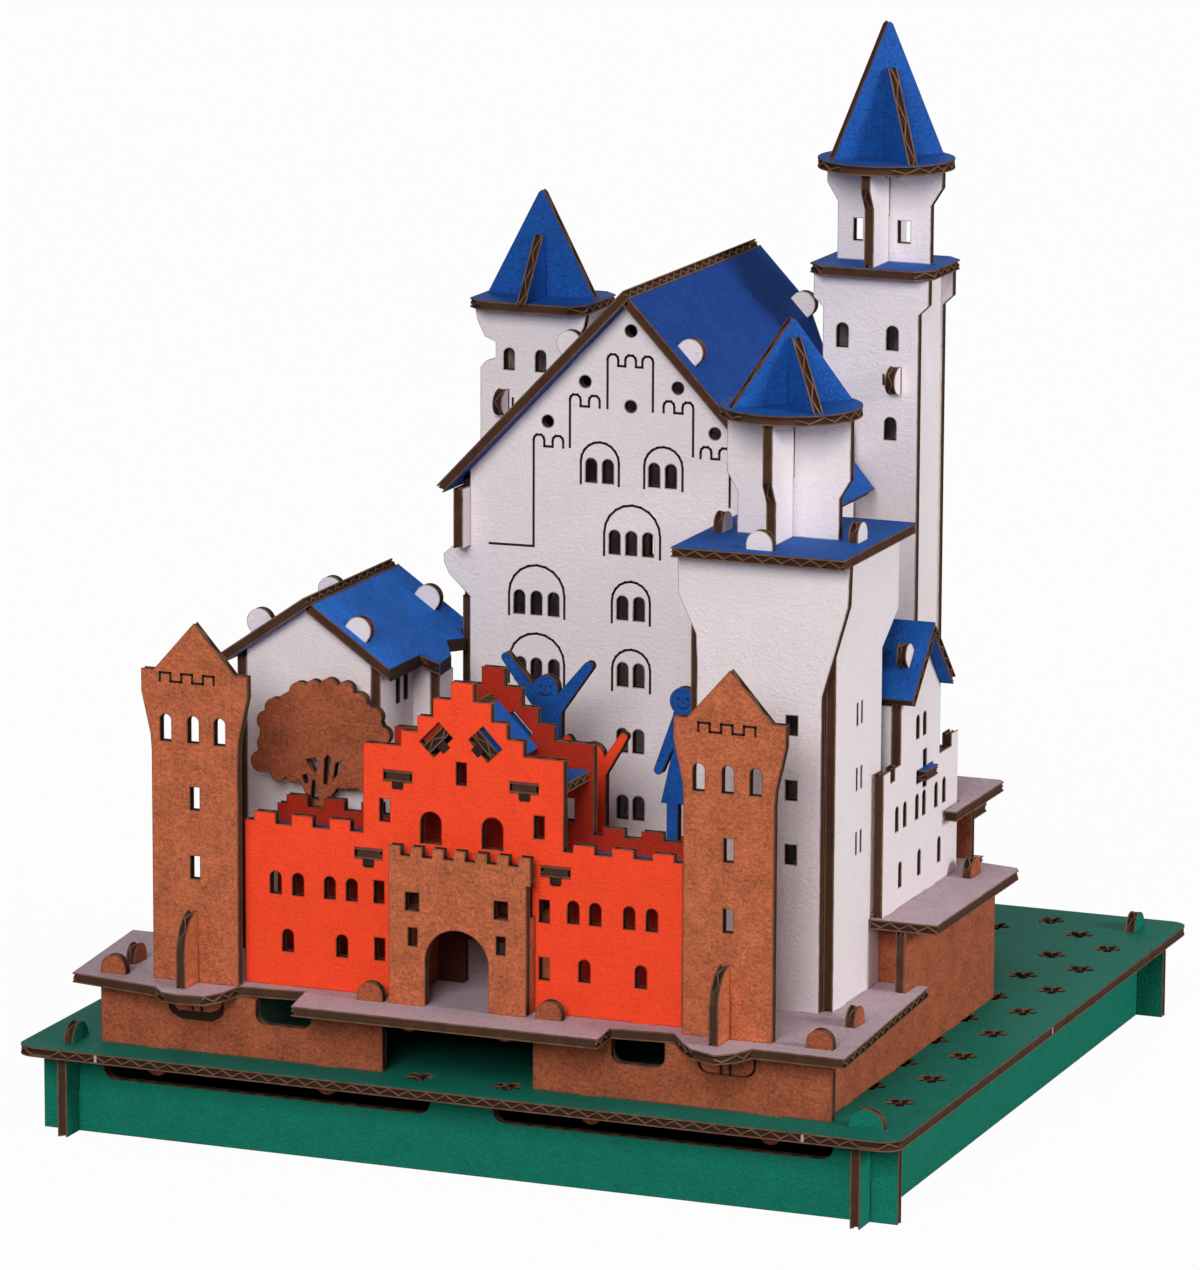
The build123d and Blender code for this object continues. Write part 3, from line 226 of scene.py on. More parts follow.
class PaperGroup:
    """Shared shader groups of paper, built once."""

    PAPER = "printed_paper"
    EDGE = "scorched_edge"

    def paper(self) -> bpy.types.NodeTree:
        """Builds the group for a printed face: fibres, threads, fine speckle and the ribs of the flutes.

        Returns:
            the group
        """
        if self.PAPER in bpy.data.node_groups:
            return bpy.data.node_groups[self.PAPER]
        group = bpy.data.node_groups.new(self.PAPER, "ShaderNodeTree")
        self._sockets(group, {"Colour": "Color", "Fibre": "Float", "Fleck": "Float", "Rib": "Float"})
        nodes = NodeTree(group)
        given = nodes.add("NodeGroupInput").outputs
        where = nodes.add("ShaderNodeUVMap", uv_map=UV_NAME).outputs["UV"]
        stretched = nodes.add("ShaderNodeMapping", {"Vector": where, "Scale": (5.0, 3.6, 1.0)}).outputs[0]
        fibres = nodes.noise(stretched, 2.2, 4.0, 0.7)
        across = nodes.add("ShaderNodeMapping", {"Vector": where, "Scale": (2.4, 5.0, 1.0)}).outputs[0]
        threads = nodes.noise(across, 3.4, 4.0, 0.7)
        flecks = nodes.noise(where, 21.0, 3.0, 0.75)
        clouds = nodes.noise(where, 2.4, 3.0, 0.6)
        fibre = nodes.math("MULTIPLY", self._centred(nodes, fibres), given["Fibre"])
        thread = nodes.math("MULTIPLY", self._centred(nodes, threads), given["Fibre"])
        fleck = nodes.math("MULTIPLY", self._centred(nodes, flecks), given["Fleck"])
        cloud = nodes.math("MULTIPLY", self._centred(nodes, clouds), given["Fibre"])
        mottle = nodes.math("ADD", nodes.math("ADD", fibre, thread), nodes.math("ADD", fleck, cloud))
        value = nodes.math("ADD", 1.0, mottle)
        tinted = nodes.add("ShaderNodeHueSaturation", {"Color": given["Colour"], "Value": value})
        u = nodes.add("ShaderNodeSeparateXYZ", {0: where}).outputs[0]
        turn = nodes.math("MULTIPLY", u, 20 * math.pi / FLUTE_PITCH)
        rib = nodes.math("MULTIPLY", nodes.math("SINE", turn), given["Rib"])
        dents = nodes.math("ADD", threads, nodes.math("MULTIPLY", flecks, 1.2))
        height = nodes.math("ADD", rib, nodes.math("ADD", fibres, dents))
        rough = nodes.math("ADD", 0.66, nodes.math("MULTIPLY", flecks, 0.2))
        nodes.add("NodeGroupOutput", {"Color": tinted.outputs[0], "Roughness": rough, "Height": height})
        return group

    def edge(self) -> bpy.types.NodeTree:
        """Builds the group for a cut edge: scorched in patches, rough with torn fibres.

        Returns:
            the group
        """
        if self.EDGE in bpy.data.node_groups:
            return bpy.data.node_groups[self.EDGE]
        group = bpy.data.node_groups.new(self.EDGE, "ShaderNodeTree")
        self._sockets(group, {"Colour": "Color", "Scorch": "Color", "Burn": "Float"})
        nodes = NodeTree(group)
        given = nodes.add("NodeGroupInput").outputs
        where = nodes.add("ShaderNodeTexCoord").outputs["Object"]
        patches = nodes.noise(where, 420.0, 4.0, 0.6)
        grit = nodes.noise(where, 3800.0, 2.0, 0.6)
        amount = nodes.math("MULTIPLY", nodes.math("MULTIPLY", patches, 2.0), given["Burn"])
        tones = {0: amount, 6: given["Colour"], 7: given["Scorch"]}
        mixed = nodes.add("ShaderNodeMix", tones, data_type="RGBA")
        value = nodes.math("ADD", 0.75, nodes.math("MULTIPLY", grit, 0.5))
        tinted = nodes.add("ShaderNodeHueSaturation", {"Color": mixed.outputs[2], "Value": value})
        rough = nodes.math("ADD", 0.7, nodes.math("MULTIPLY", patches, 0.25))
        nodes.add("NodeGroupOutput", {"Color": tinted.outputs[0], "Roughness": rough, "Height": grit})
        return group

    @staticmethod
    def _centred(nodes: NodeTree, socket) -> bpy.types.NodeSocket:
        """Noise moved to swing around zero."""
        return nodes.math("MULTIPLY", nodes.math("SUBTRACT", socket, 0.5), 2.0)

    @staticmethod
    def _sockets(group: bpy.types.NodeTree, inputs: dict[str, str]) -> None:
        """Adds the group's named inputs and its three outputs.

        Args:
            group: the new group
            inputs: kind of each input, by its name
        """
        outputs = {"Color": "Color", "Roughness": "Float", "Height": "Float"}
        for direction, sockets in (("INPUT", inputs), ("OUTPUT", outputs)):
            for name, kind in sockets.items():
                group.interface.new_socket(name, in_out=direction, socket_type=f"NodeSocket{kind}")


class Materials:
    """Materials of the boards, each made once."""

    SHEEN = 0.25

    def __init__(self) -> None:
        self.groups = PaperGroup()
        self.made: dict[str, bpy.types.Material] = {}

    def face(self, finish: Finish) -> bpy.types.Material:
        """Makes the printed face of a board.

        Args:
            finish: print on it

        Returns:
            the material
        """
        values = {
            "Colour": (*finish.colour, 1.0),
            "Fibre": finish.fibre,
            "Fleck": finish.fleck,
            "Rib": finish.rib,
        }
        return self._from_group(f"{finish.slot}{finish.tone}_face", self.groups.paper(), values, PAPER_BUMP)

    def rim(self, finish: Finish) -> bpy.types.Material:
        """Scorched rim of a printed face."""
        values = {"Colour": (*finish.colour, 1.0), "Scorch": (*SCORCH, 1.0), "Burn": 0.45}
        return self._from_group(f"{finish.slot}{finish.tone}_rim", self.groups.edge(), values, RIM_BUMP)

    def liner(self) -> bpy.types.Material:
        """Cut edge of a liner or of the fluted sheet."""
        values = {"Colour": (*CUT_LINER, 1.0), "Scorch": (*SCORCH, 1.0), "Burn": 0.55}
        return self._from_group("cut_liner", self.groups.edge(), values, CUT_BUMP)

    def hollow(self) -> bpy.types.Material:
        """Scorched inside of the cut edge, darkened further as painted shade of the open flute channels."""
        values = {"Colour": (*CUT_HOLLOW, 1.0), "Scorch": (*SCORCH, 1.0), "Burn": 0.4}
        return self._from_group("cut_hollow", self.groups.edge(), values, CUT_BUMP)

    def side(self) -> bpy.types.Material:
        """Cut edge along the flutes."""
        values = {"Colour": (*CUT_SIDE, 1.0), "Scorch": (*SCORCH, 1.0), "Burn": 0.7}
        return self._from_group("cut_side", self.groups.edge(), values, CUT_BUMP)

    def line(self) -> bpy.types.Material:
        """Line burnt or cut through a face; the same dark look fills the painted shade in the left tower's
        pocket.
        """
        values = {"Colour": (*SCORCH, 1.0), "Scorch": (0.008, 0.006, 0.005, 1.0), "Burn": 0.5}
        return self._from_group("burnt_line_and_painted_shade", self.groups.edge(), values, LINE_BUMP)

    def board(self, finish: Finish) -> list[bpy.types.Material]:
        """All materials of a board, in the order of Part."""
        return [self.face(finish), self.rim(finish), self.liner(), self.hollow(), self.side()]

    def _from_group(
        self, name: str, group: bpy.types.NodeTree, values: dict, depth: float
    ) -> bpy.types.Material:
        """Material with one group in front of its Principled BSDF.

        Args:
            name: material name
            group: group with Color, Roughness and Height outputs
            values: constants for the group's inputs
            depth: depth of the bump in metres

        Returns:
            the material
        """
        if name in self.made:
            return self.made[name]
        material = bpy.data.materials.new(name)
        material.use_nodes = True
        nodes = NodeTree(material.node_tree)
        shader = material.node_tree.nodes["Principled BSDF"]
        look = nodes.add("ShaderNodeGroup", values, node_tree=group)
        relief = {"Strength": 1.0, "Distance": depth, "Height": look.outputs["Height"]}
        bump = nodes.add("ShaderNodeBump", relief)
        material.node_tree.links.new(look.outputs["Color"], shader.inputs["Base Color"])
        material.node_tree.links.new(look.outputs["Roughness"], shader.inputs["Roughness"])
        material.node_tree.links.new(bump.outputs["Normal"], shader.inputs["Normal"])
        shader.inputs["Specular IOR Level"].default_value = self.SHEEN
        self.made[name] = material
        return material


materials = Materials()


def finish_piece(
    name: str, bm: bmesh.types.BMesh, looks: list[bpy.types.Material]
) -> bpy.types.Object:
    """Turns a bmesh in millimetres into a piece that rides on the castle.

    Args:
        name: name of the piece
        bm: its shape, freed here
        looks: materials by index

    Returns:
        the piece's object
    """
    bmesh.ops.scale(bm, vec=(MM, MM, MM), verts=bm.verts)
    mesh = bpy.data.meshes.new(name)
    bm.to_mesh(mesh)
    bm.free()
    for look in looks:
        mesh.materials.append(look)
    piece = bpy.data.objects.new(name, mesh)
    bpy.context.scene.collection.objects.link(piece)
    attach(piece, ROOT)
    log.info("%s: %d faces", name, len(mesh.polygons))
    return piece


@dataclass(frozen=True)
class Run:
    """Point of a flute's path along a cut edge.

    Args:
        place: where the edge is
        out: direction out of the board
        height: the flute's height above the middle of the board
    """

    place: Vector
    out: Vector
    height: float


class CorrugatedSheet:
    """One board rebuilt from its solid as two liners, a recessed core and its flutes."""

    def __init__(self, bm: bmesh.types.BMesh, grain: Grain) -> None:
        """Finds the board's faces.

        Args:
            bm: the board alone, merged, in millimetres
            grain: way in which its flutes run
        """
        self.bm = bm
        self.normal = self._normal()
        heights = [v.co.dot(self.normal) for v in bm.verts]
        self.low = min(heights)
        self.high = max(heights)
        self.middle = (self.low + self.high) / 2
        self.flute = grain.on(self.normal)
        self.across = self.normal.cross(self.flute).normalized()

    def rebuild(self) -> None:
        """Cuts the groove, sets the flutes into it and marks the surfaces."""
        for face in self.bm.faces:
            face.material_index = Part.FACE.value if self._is_cap(face) else Part.LINER.value
        if self.high - self.low > THICKEST_BOARD:
            return
        self._square_walls()
        core = self._core()
        paths = [run for loop in self._loops(core) for run in self._runs(loop)]
        self._sink(core)
        self._rims()
        for path in paths:
            self._lay_flute(path)
        self.unwrap()

    def _normal(self) -> Vector:
        """Finds the direction across the board.

        Returns:
            the direction that its largest face looks in, or the preferred one of two alike
        """
        def rank(face: bmesh.types.BMFace) -> tuple[float, float]:
            """Area first, then the side that the face is on."""
            return round(face.calc_area(), 3), face.normal.dot(PREFERRED_SIDE)
        return max(self.bm.faces, key=rank).normal.copy()

    def _is_cap(self, face: bmesh.types.BMFace) -> bool:
        """True for a printed face."""
        return abs(face.normal.dot(self.normal)) > 0.5

    def _square_walls(self) -> None:
        """Joins the triangles of each flat stretch of the cut edge."""
        seams = []
        for edge in self.bm.edges:
            if len(edge.link_faces) != 2 or any(self._is_cap(face) for face in edge.link_faces):
                continue
            first, second = edge.link_faces
            if first.normal.dot(second.normal) > 0.99999:
                seams.append(edge)
        bmesh.ops.dissolve_edges(self.bm, edges=seams, use_verts=False)

    def _core(self) -> list[bmesh.types.BMFace]:
        """Splits the cut edge into liner, core and liner.

        Returns:
            the core's faces
        """
        for height in (self.low + LINER, self.high - LINER):
            everything = self.bm.verts[:] + self.bm.edges[:] + self.bm.faces[:]
            bmesh.ops.bisect_plane(
                self.bm, geom=everything, dist=CUT, plane_co=self.normal * height, plane_no=self.normal
            )
        self.bm.normal_update()
        core = []
        for face in self.bm.faces:
            height = face.calc_center_median().dot(self.normal)
            if not self._is_cap(face) and self.low + LINER < height < self.high - LINER:
                core.append(face)
        return core

    def _loops(self, core: list[bmesh.types.BMFace]) -> list[list[tuple[Vector, Vector, Vector]]]:
        """Follows the lower seam between the core and its liner.

        Args:
            core: faces of the core

        Returns:
            loops of stretches, each a start, an end and the direction out of the board
        """
        inside = set(core)
        limit = self.low + LINER + 0.001
        seam = {}
        for face in core:
            for edge in face.edges:
                on_seam = all(vert.co.dot(self.normal) < limit for vert in edge.verts)
                if on_seam and any(other not in inside for other in edge.link_faces):
                    seam[edge] = face.normal.copy()
        loops = []
        while seam:
            edge = min(seam, key=lambda stretch: self._order((stretch.verts[0].co + stretch.verts[1].co) / 2))
            out = seam.pop(edge)
            first, vert = sorted(edge.verts, key=lambda corner: self._order(corner.co))
            loop = [(first.co.copy(), vert.co.copy(), out)]
            while True:
                following = next((e for e in vert.link_edges if e in seam), None)
                if following is None:
                    break
                out = seam.pop(following)
                other = following.other_vert(vert)
                loop.append((vert.co.copy(), other.co.copy(), out))
                vert = other
            loops.append(loop)
        return loops

    @staticmethod
    def _order(place: Vector) -> tuple[float, ...]:
        """Sorting value of a place, so that a loop always starts at the same corner."""
        return tuple(round(value, 3) for value in place)

    def _is_crossing(self, start: Vector, end: Vector) -> bool:
        """True where a stretch of the cut edge crosses the flutes."""
        way = end - start
        return way.length >= CUT and abs(way.dot(self.across)) / way.length >= LEAST_CROSSING

    def _turned(self, loop: list[tuple[Vector, Vector, Vector]]) -> list[tuple[Vector, Vector, Vector]]:
        """Turns a closed loop to start between two flutes, so that none is cut in two.

        Args:
            loop: stretches of the seam

        Returns:
            the same stretches, from one that runs along the flutes
        """
        closed = (loop[-1][1] - loop[0][0]).length < MERGE
        pauses = [number for number, (start, end, _) in enumerate(loop) if not self._is_crossing(start, end)]
        if not closed or not pauses:
            return loop
        return loop[pauses[0]:] + loop[:pauses[0]]

    def _runs(self, loop: list[tuple[Vector, Vector, Vector]]) -> list[list[Run]]:
        """Paths of the flutes along one loop, where the edge crosses them.

        Args:
            loop: stretches of the seam

        Returns:
            paths long enough to show a flute
        """
        paths = []
        path: list[Run] = []
        for start, end, out in self._turned(loop):
            if not self._is_crossing(start, end):
                paths.append(path)
                path = []
                continue
            first = start.dot(self.across)
            last = end.dot(self.across)
            half = FLUTE_PITCH / 2
            lowest = math.ceil(min(first, last) / half)
            highest = math.floor(max(first, last) / half)
            shares = sorted((step * half - first) / (last - first) for step in range(lowest, highest + 1))
            for share in [0.0] + [s for s in shares if 0.02 < s < 0.98] + [1.0]:
                place = start.lerp(end, share)
                if path and (path[-1].place - place).length < 0.02:
                    continue
                path.append(Run(place, out, self._swing(place)))
        paths.append(path)
        return [path for path in paths if self._length(path) > SHORTEST_RUN]

    @staticmethod
    def _length(path: list[Run]) -> float:
        """Length of a flute's path."""
        return sum((last.place - first.place).length for first, last in zip(path, path[1:]))

    def _swing(self, place: Vector) -> float:
        """Height of the fluted sheet above the middle of the board at a place."""
        turn = (place.dot(self.across) / FLUTE_PITCH) % 1.0
        return FLUTE_SWING * (4 * abs(turn - 0.5) - 1)

    def _sink(self, core: list[bmesh.types.BMFace]) -> None:
        """Sets the core back from the liners.

        Args:
            core: faces of the core
        """
        grown = bmesh.ops.extrude_face_region(self.bm, geom=core)["geom"]
        old = [face for face in core if face.is_valid]
        bmesh.ops.delete(self.bm, geom=old, context="FACES_ONLY")
        floor = {g for g in grown if isinstance(g, bmesh.types.BMFace)}
        self.bm.normal_update()
        moves = {g: self._step_back(g, floor) for g in grown if isinstance(g, bmesh.types.BMVert)}
        for vert, out in moves.items():
            vert.co -= out
        self.bm.normal_update()
        limits = (self.low + 0.01, self.high - 0.01)
        for face in self.bm.faces:
            if limits[0] < face.calc_center_median().dot(self.normal) < limits[1]:
                if face in floor or self._is_cap(face):
                    # The hollow look here is partly painted shade of the open flute channels
                    deep = face not in floor or self._crosses(face.normal)
                    face.material_index = Part.HOLLOW.value if deep else Part.SIDE.value

    def _crosses(self, out: Vector) -> bool:
        """True where a cut edge facing out crosses the flutes."""
        return abs(self.normal.cross(out).dot(self.across)) >= LEAST_CROSSING

    def _step_back(self, vert: bmesh.types.BMVert, floor: set[bmesh.types.BMFace]) -> Vector:
        """How far a corner of the core steps back, outward positive.

        Args:
            vert: corner of the core
            floor: faces of the core

        Returns:
            the step that gives the stretches on both sides their own depth
        """
        outs: list[Vector] = []
        for face in vert.link_faces:
            if face in floor and all(out.dot(face.normal) < 0.999 for out in outs):
                outs.append(face.normal.copy())
        depths = [GROOVE if self._crosses(out) else SIDE_GROOVE for out in outs]
        if not outs:
            return Vector()
        if len(outs) == 1:
            return outs[0] * depths[0]
        turn = outs[0].dot(outs[1])
        if turn > 0.97 or turn < -0.8:
            return (outs[0] + outs[1]).normalized() * min(depths)
        share = 1 - turn * turn
        first = (depths[0] - turn * depths[1]) / share
        second = (depths[1] - turn * depths[0]) / share
        return outs[0] * first + outs[1] * second

    def _rims(self) -> None:
        """Marks the scorched rim of both faces and crushes their edges a little."""
        for side, height in ((1, self.high), (-1, self.low)):
            caps = [f for f in self.bm.faces if abs(f.calc_center_median().dot(self.normal) - height) < 0.005]
            for face in caps:
                face.material_index = Part.FACE.value
            ring = bmesh.ops.inset_region(
                self.bm, faces=caps, thickness=RIM, depth=0.0, use_boundary=True, use_even_offset=True
            )["faces"]
            for face in ring:
                face.material_index = Part.RIM.value
            flat = set(caps) | set(ring)
            for vert in {v for face in ring for v in face.verts}:
                if any(face not in flat for face in vert.link_faces):
                    vert.co -= self.normal * (side * CRUSH)

    def _lay_flute(self, path: list[Run]) -> None:
        """Builds the fluted sheet along one path, from a line of points given height and then depth.

        Args:
            path: points along the cut edge
        """
        outs = self.bm.verts.layers.float_vector.get("out") or self.bm.verts.layers.float_vector.new("out")
        lift = self.normal * (self.middle - path[0].place.dot(self.normal) - FLUTE_SHEET / 2)
        edges = []
        vert = None
        for run in path:
            place = run.place + lift + self.normal * run.height - run.out * GROOVE
            if vert is None:
                vert = self.bm.verts.new(place)
            else:
                made = bmesh.ops.extrude_vert_indiv(self.bm, verts=[vert])
                vert = made["verts"][0]
                vert.co = place
                edges.append(made["edges"][0])
            vert[outs] = run.out
        strip = bmesh.ops.extrude_edge_only(self.bm, edges=edges)["geom"]
        top = [g for g in strip if isinstance(g, bmesh.types.BMVert)]
        bmesh.ops.translate(self.bm, vec=self.normal * FLUTE_SHEET, verts=top)
        back = [g for g in strip if isinstance(g, bmesh.types.BMFace)]
        block = bmesh.ops.extrude_face_region(self.bm, geom=back)["geom"]
        front = [g for g in block if isinstance(g, bmesh.types.BMVert)]
        for vert in front:
            vert.co += vert[outs] * (GROOVE - FLUTE_SETBACK)
        whole = {face for vert in front for face in vert.link_faces} | set(back)
        for face in whole:
            face.material_index = Part.LINER.value
        bmesh.ops.recalc_face_normals(self.bm, faces=list(whole))

    def unwrap(self) -> None:
        """Writes where each face lies on the board: across and along the flutes, in centimetres."""
        layer = self.bm.loops.layers.uv.new(UV_NAME)
        for face in self.bm.faces:
            for corner in face.loops:
                place = corner.vert.co / 10
                corner[layer].uv = (place.dot(self.across), place.dot(self.flute))


def loose_parts(bm: bmesh.types.BMesh) -> list[set[int]]:
    """Finds the separate boards in a bmesh, also where two of them meet along an edge.

    Args:
        bm: merged boards

    Returns:
        the face numbers of each board
    """
    bm.faces.ensure_lookup_table()
    waiting = set(range(len(bm.faces)))
    parts = []
    while waiting:
        front = [waiting.pop()]
        part = set(front)
        while front:
            for edge in bm.faces[front.pop()].edges:
                if len(edge.link_faces) > 2:
                    continue
                found = {face.index for face in edge.link_faces} & waiting
                waiting -= found
                part |= found
                front.extend(found)
        parts.append(part)
    return parts


@dataclass(frozen=True)
class Board:
    """Node whose boards are rebuilt.

    Args:
        node: CAD node
        finish: print on its faces
        grain: way in which its flutes run
    """

    node: str
    finish: Finish
    grain: Grain = Grain.UP

    def build(self) -> bpy.types.Object:
        """Rebuilds every board of the node.

        Returns:
            one piece that stands for the node
        """
        merged = bmesh.new()
        merged.from_mesh(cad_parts[self.node].data)
        bmesh.ops.scale(merged, vec=(1 / MM, 1 / MM, 1 / MM), verts=merged.verts)
        bmesh.ops.remove_doubles(merged, verts=merged.verts, dist=MERGE)
        whole = bpy.data.meshes.new(f"{self.node}_parts")
        joined = bmesh.new()
        for part in loose_parts(merged):
            single = merged.copy()
            single.faces.ensure_lookup_table()
            rest = [face for face in single.faces if face.index not in part]
            bmesh.ops.delete(single, geom=rest, context="FACES")
            bmesh.ops.recalc_face_normals(single, faces=single.faces)
            CorrugatedSheet(single, self.grain).rebuild()
            single.to_mesh(whole)
            single.free()
            joined.from_mesh(whole)
        merged.free()
        bpy.data.meshes.remove(whole)
        piece = finish_piece(f"{self.node}_board", joined, materials.board(self.finish))
        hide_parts(self.node)
        return piece


class Facing(Enum):
    """Side of a board that is drawn on."""

    FRONT = 1
    RIGHT = 0


@dataclass
class Drawing:
    """Thin marks on one face of a board, burnt lines unless another look is given; some marks are fields of
    painted shade.

    Args:
        name: name of the piece
        node: CAD node drawn on
        slot: the record's material slot of the board; not used
        facing: side of the node
        proud: how far the marks stand out, in millimetres
        look: finish of the marks
    """

    name: str
    node: str
    slot: str
    facing: Facing = Facing.FRONT
    proud: float = LINE_PROUD
    look: Finish | None = None
    bm: bmesh.types.BMesh = field(default_factory=bmesh.new)

    def _at(self, across: float, height: float) -> Vector:
        """Finds a point of the drawn face.

        Args:
            across: place along the face
            height: height above the ground

        Returns:
            the point, in millimetres
        """
        low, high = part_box(self.node)
        if self.facing is Facing.FRONT:
            return Vector((across, low[1] / MM - self.proud, height))
        return Vector((high[0] / MM + self.proud, across, height))

    def _inward(self) -> Vector:
        """Direction into the board."""
        return Vector((0, 1, 0)) if self.facing is Facing.FRONT else Vector((-1, 0, 0))

    def lines(self, points: list[tuple[float, float]], width: float = LINE_WIDTH) -> None:
        """Draws a line.

        Args:
            points: places (across, height) that it runs through
            width: its width
        """
        inward = self._inward()
        for first, last in zip(points, points[1:]):
            start = self._at(*first)
            end = self._at(*last)
            along = (end - start).normalized()
            side = along.cross(inward)
            turn = Matrix((along, side, inward)).transposed().to_4x4()
            size = Matrix.Diagonal(((end - start).length + width, width, LINE_DEPTH, 1.0))
            middle = Matrix.Translation((start + end) / 2 + inward * (LINE_DEPTH / 2))
            bmesh.ops.create_cube(self.bm, size=1.0, matrix=middle @ turn @ size)

    def field(self, points: list[tuple[float, float]]) -> None:
        """Fills an outline.

        Args:
            points: corners (across, height) of the outline
        """
        outer = self.bm.faces.new([self.bm.verts.new(self._at(*point)) for point in points])
        grown = bmesh.ops.extrude_face_region(self.bm, geom=[outer])["geom"]
        far = [g for g in grown if isinstance(g, bmesh.types.BMVert)]
        bmesh.ops.translate(self.bm, vec=self._inward() * LINE_DEPTH, verts=far)
        block = {outer} | {face for vert in far for face in vert.link_faces}
        bmesh.ops.recalc_face_normals(self.bm, faces=list(block))

    def dot(self, across: float, height: float, radius: float) -> None:
        """Draws a small round dot.

        Args:
            across: middle along the face
            height: middle above the ground
            radius: its radius
        """
        place = self._at(across, height) + self._inward() * (LINE_DEPTH / 2)
        spot = bmesh.ops.create_cone(
            self.bm, cap_ends=True, segments=14, radius1=radius, radius2=radius, depth=LINE_DEPTH
        )["verts"]
        turn = Vector((0, 0, 1)).rotation_difference(self._inward()).to_matrix()
        bmesh.ops.rotate(self.bm, cent=(0, 0, 0), matrix=turn, verts=spot)
        bmesh.ops.translate(self.bm, vec=place, verts=spot)

    @staticmethod
    def head(left: float, right: float, top: float) -> list[tuple[float, float]]:
        """Works out the round head of an arch.

        Args:
            left: left side of the arch
            right: right side of the arch
            top: height of its crown

        Returns:
            points of the head, from left to right
        """
        radius = (right - left) / 2
        spring = top - radius
        middle = (left + right) / 2
        turns = [math.pi * (1 - step / 10) for step in range(11)]
        return [(middle + radius * math.cos(t), spring + radius * math.sin(t)) for t in turns]

    def arch(self, left: float, right: float, foot: float, top: float) -> None:
        """Draws a round arch, open at its foot.

        Args:
            left: left side
            right: right side
            foot: height of its foot
            top: height of its crown
        """
        self.lines([(left, foot)] + self.head(left, right, top) + [(right, foot)])

    def build(self) -> bpy.types.Object:
        """Makes the drawing a piece."""
        look = materials.face(self.look) if self.look else materials.line()
        return finish_piece(self.name, self.bm, [look])


@dataclass(frozen=True)
class LockTab:
    """Round end of a board inside a tower, which locks it through the tower's front.

    Args:
        tower: what the tower is called
        node: node with the tower's front
        across: right side of the tab, in millimetres
        height: middle of the tab, in millimetres
        gap: middle of the slot's open rest, in millimetres
    """

    tower: str
    node: str
    across: float
    height: float
    gap: float

    THICKNESS = 1.8
    HALF_WIDTH = 2.35
    REACH = 3.0
    ROOT = 0.8
    SEAT = (4.7, 0.08, 5.2)
    SEAT_MARGIN = 0.9
    # Sizes of the dark blocks of painted shade in the open slot and beside the tab's root
    GAP = (0.4, 0.04, 1.9)
    ROOT_GAP = (0.18, 0.04, 4.6)

    def build(self) -> bpy.types.Object:
        """Makes the tab, the closed slot round it and the slot's open rest as dark blocks of painted shade.

        Returns:
            the piece
        """
        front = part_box(self.node)[0][1] / MM
        bm = self._tab(front)
        CorrugatedSheet(bm, Grain.DEEP).rebuild()
        middle = self.across - self.SEAT[0] / 2 + self.SEAT_MARGIN
        self._block(bm, (middle, front, self.height), self.SEAT, Part.FACE)
        seat_front = front - self.SEAT[1] / 2
        beside = self.across + self.ROOT_GAP[0] / 2
        # Painted shade: dark blocks in the slot's open rest and beside the tab's root
        self._block(bm, (self.gap, seat_front, self.height), self.GAP, Part.HOLLOW)
        self._block(bm, (beside, seat_front, self.height), self.ROOT_GAP, Part.HOLLOW)
        return finish_piece(f"{self.tower}_lock_tab", bm, materials.board(WHITE))

    def _tab(self, front: float) -> bmesh.types.BMesh:
        """Shapes the half-round board end that pokes out of the front.

        Args:
            front: depth of the tower's front face

        Returns:
            the tab, in millimetres
        """
        bm = bmesh.new()
        disc = bmesh.ops.create_circle(bm, cap_ends=True, segments=28, radius=self.HALF_WIDTH)["verts"]
        bmesh.ops.scale(bm, vec=(1.0, self.REACH / self.HALF_WIDTH, 1.0), verts=disc)
        bmesh.ops.rotate(bm, cent=(0, 0, 0), matrix=Matrix.Rotation(math.pi / 2, 3, "Y"), verts=disc)
        grown = bmesh.ops.extrude_face_region(bm, geom=bm.faces[:])["geom"]
        far = [g for g in grown if isinstance(g, bmesh.types.BMVert)]
        bmesh.ops.translate(bm, vec=(-self.THICKNESS, 0.0, 0.0), verts=far)
        everything = bm.verts[:] + bm.edges[:] + bm.faces[:]
        plane = {"plane_co": (0.0, self.ROOT, 0.0), "plane_no": (0.0, 1.0, 0.0)}
        cut = bmesh.ops.bisect_plane(bm, geom=everything, dist=CUT, clear_outer=True, **plane)["geom_cut"]
        bmesh.ops.holes_fill(bm, edges=[g for g in cut if isinstance(g, bmesh.types.BMEdge)], sides=0)
        bmesh.ops.recalc_face_normals(bm, faces=bm.faces)
        bmesh.ops.translate(bm, vec=(self.across, front, self.height), verts=bm.verts)
        return bm

    @staticmethod
    def _block(bm: bmesh.types.BMesh, place: tuple, size: tuple, part: Part) -> None:
        """Adds a thin block.

        Args:
            bm: where to add it
            place: its middle, in millimetres
            size: its sides, in millimetres
            part: surface that it shows
        """
        matrix = Matrix.Translation(place) @ Matrix.Diagonal((*size, 1.0))
        verts = bmesh.ops.create_cube(bm, size=1.0, matrix=matrix)["verts"]
        layer = bm.loops.layers.uv[UV_NAME]
        for face in {face for vert in verts for face in vert.link_faces}:
            face.material_index = part.value
            for corner in face.loops:
                corner[layer].uv = (corner.vert.co.x / 10, corner.vert.co.z / 10)


@dataclass
class SubAssembly:
    """Boards that belong together."""

    boards: list[Board]

    def build(self) -> None:
        """Builds the boards, then what is drawn on them."""
        for board in self.boards:
            board.build()
        self.draw()

    def draw(self) -> None:
        """Adds what is drawn on the boards, if anything."""


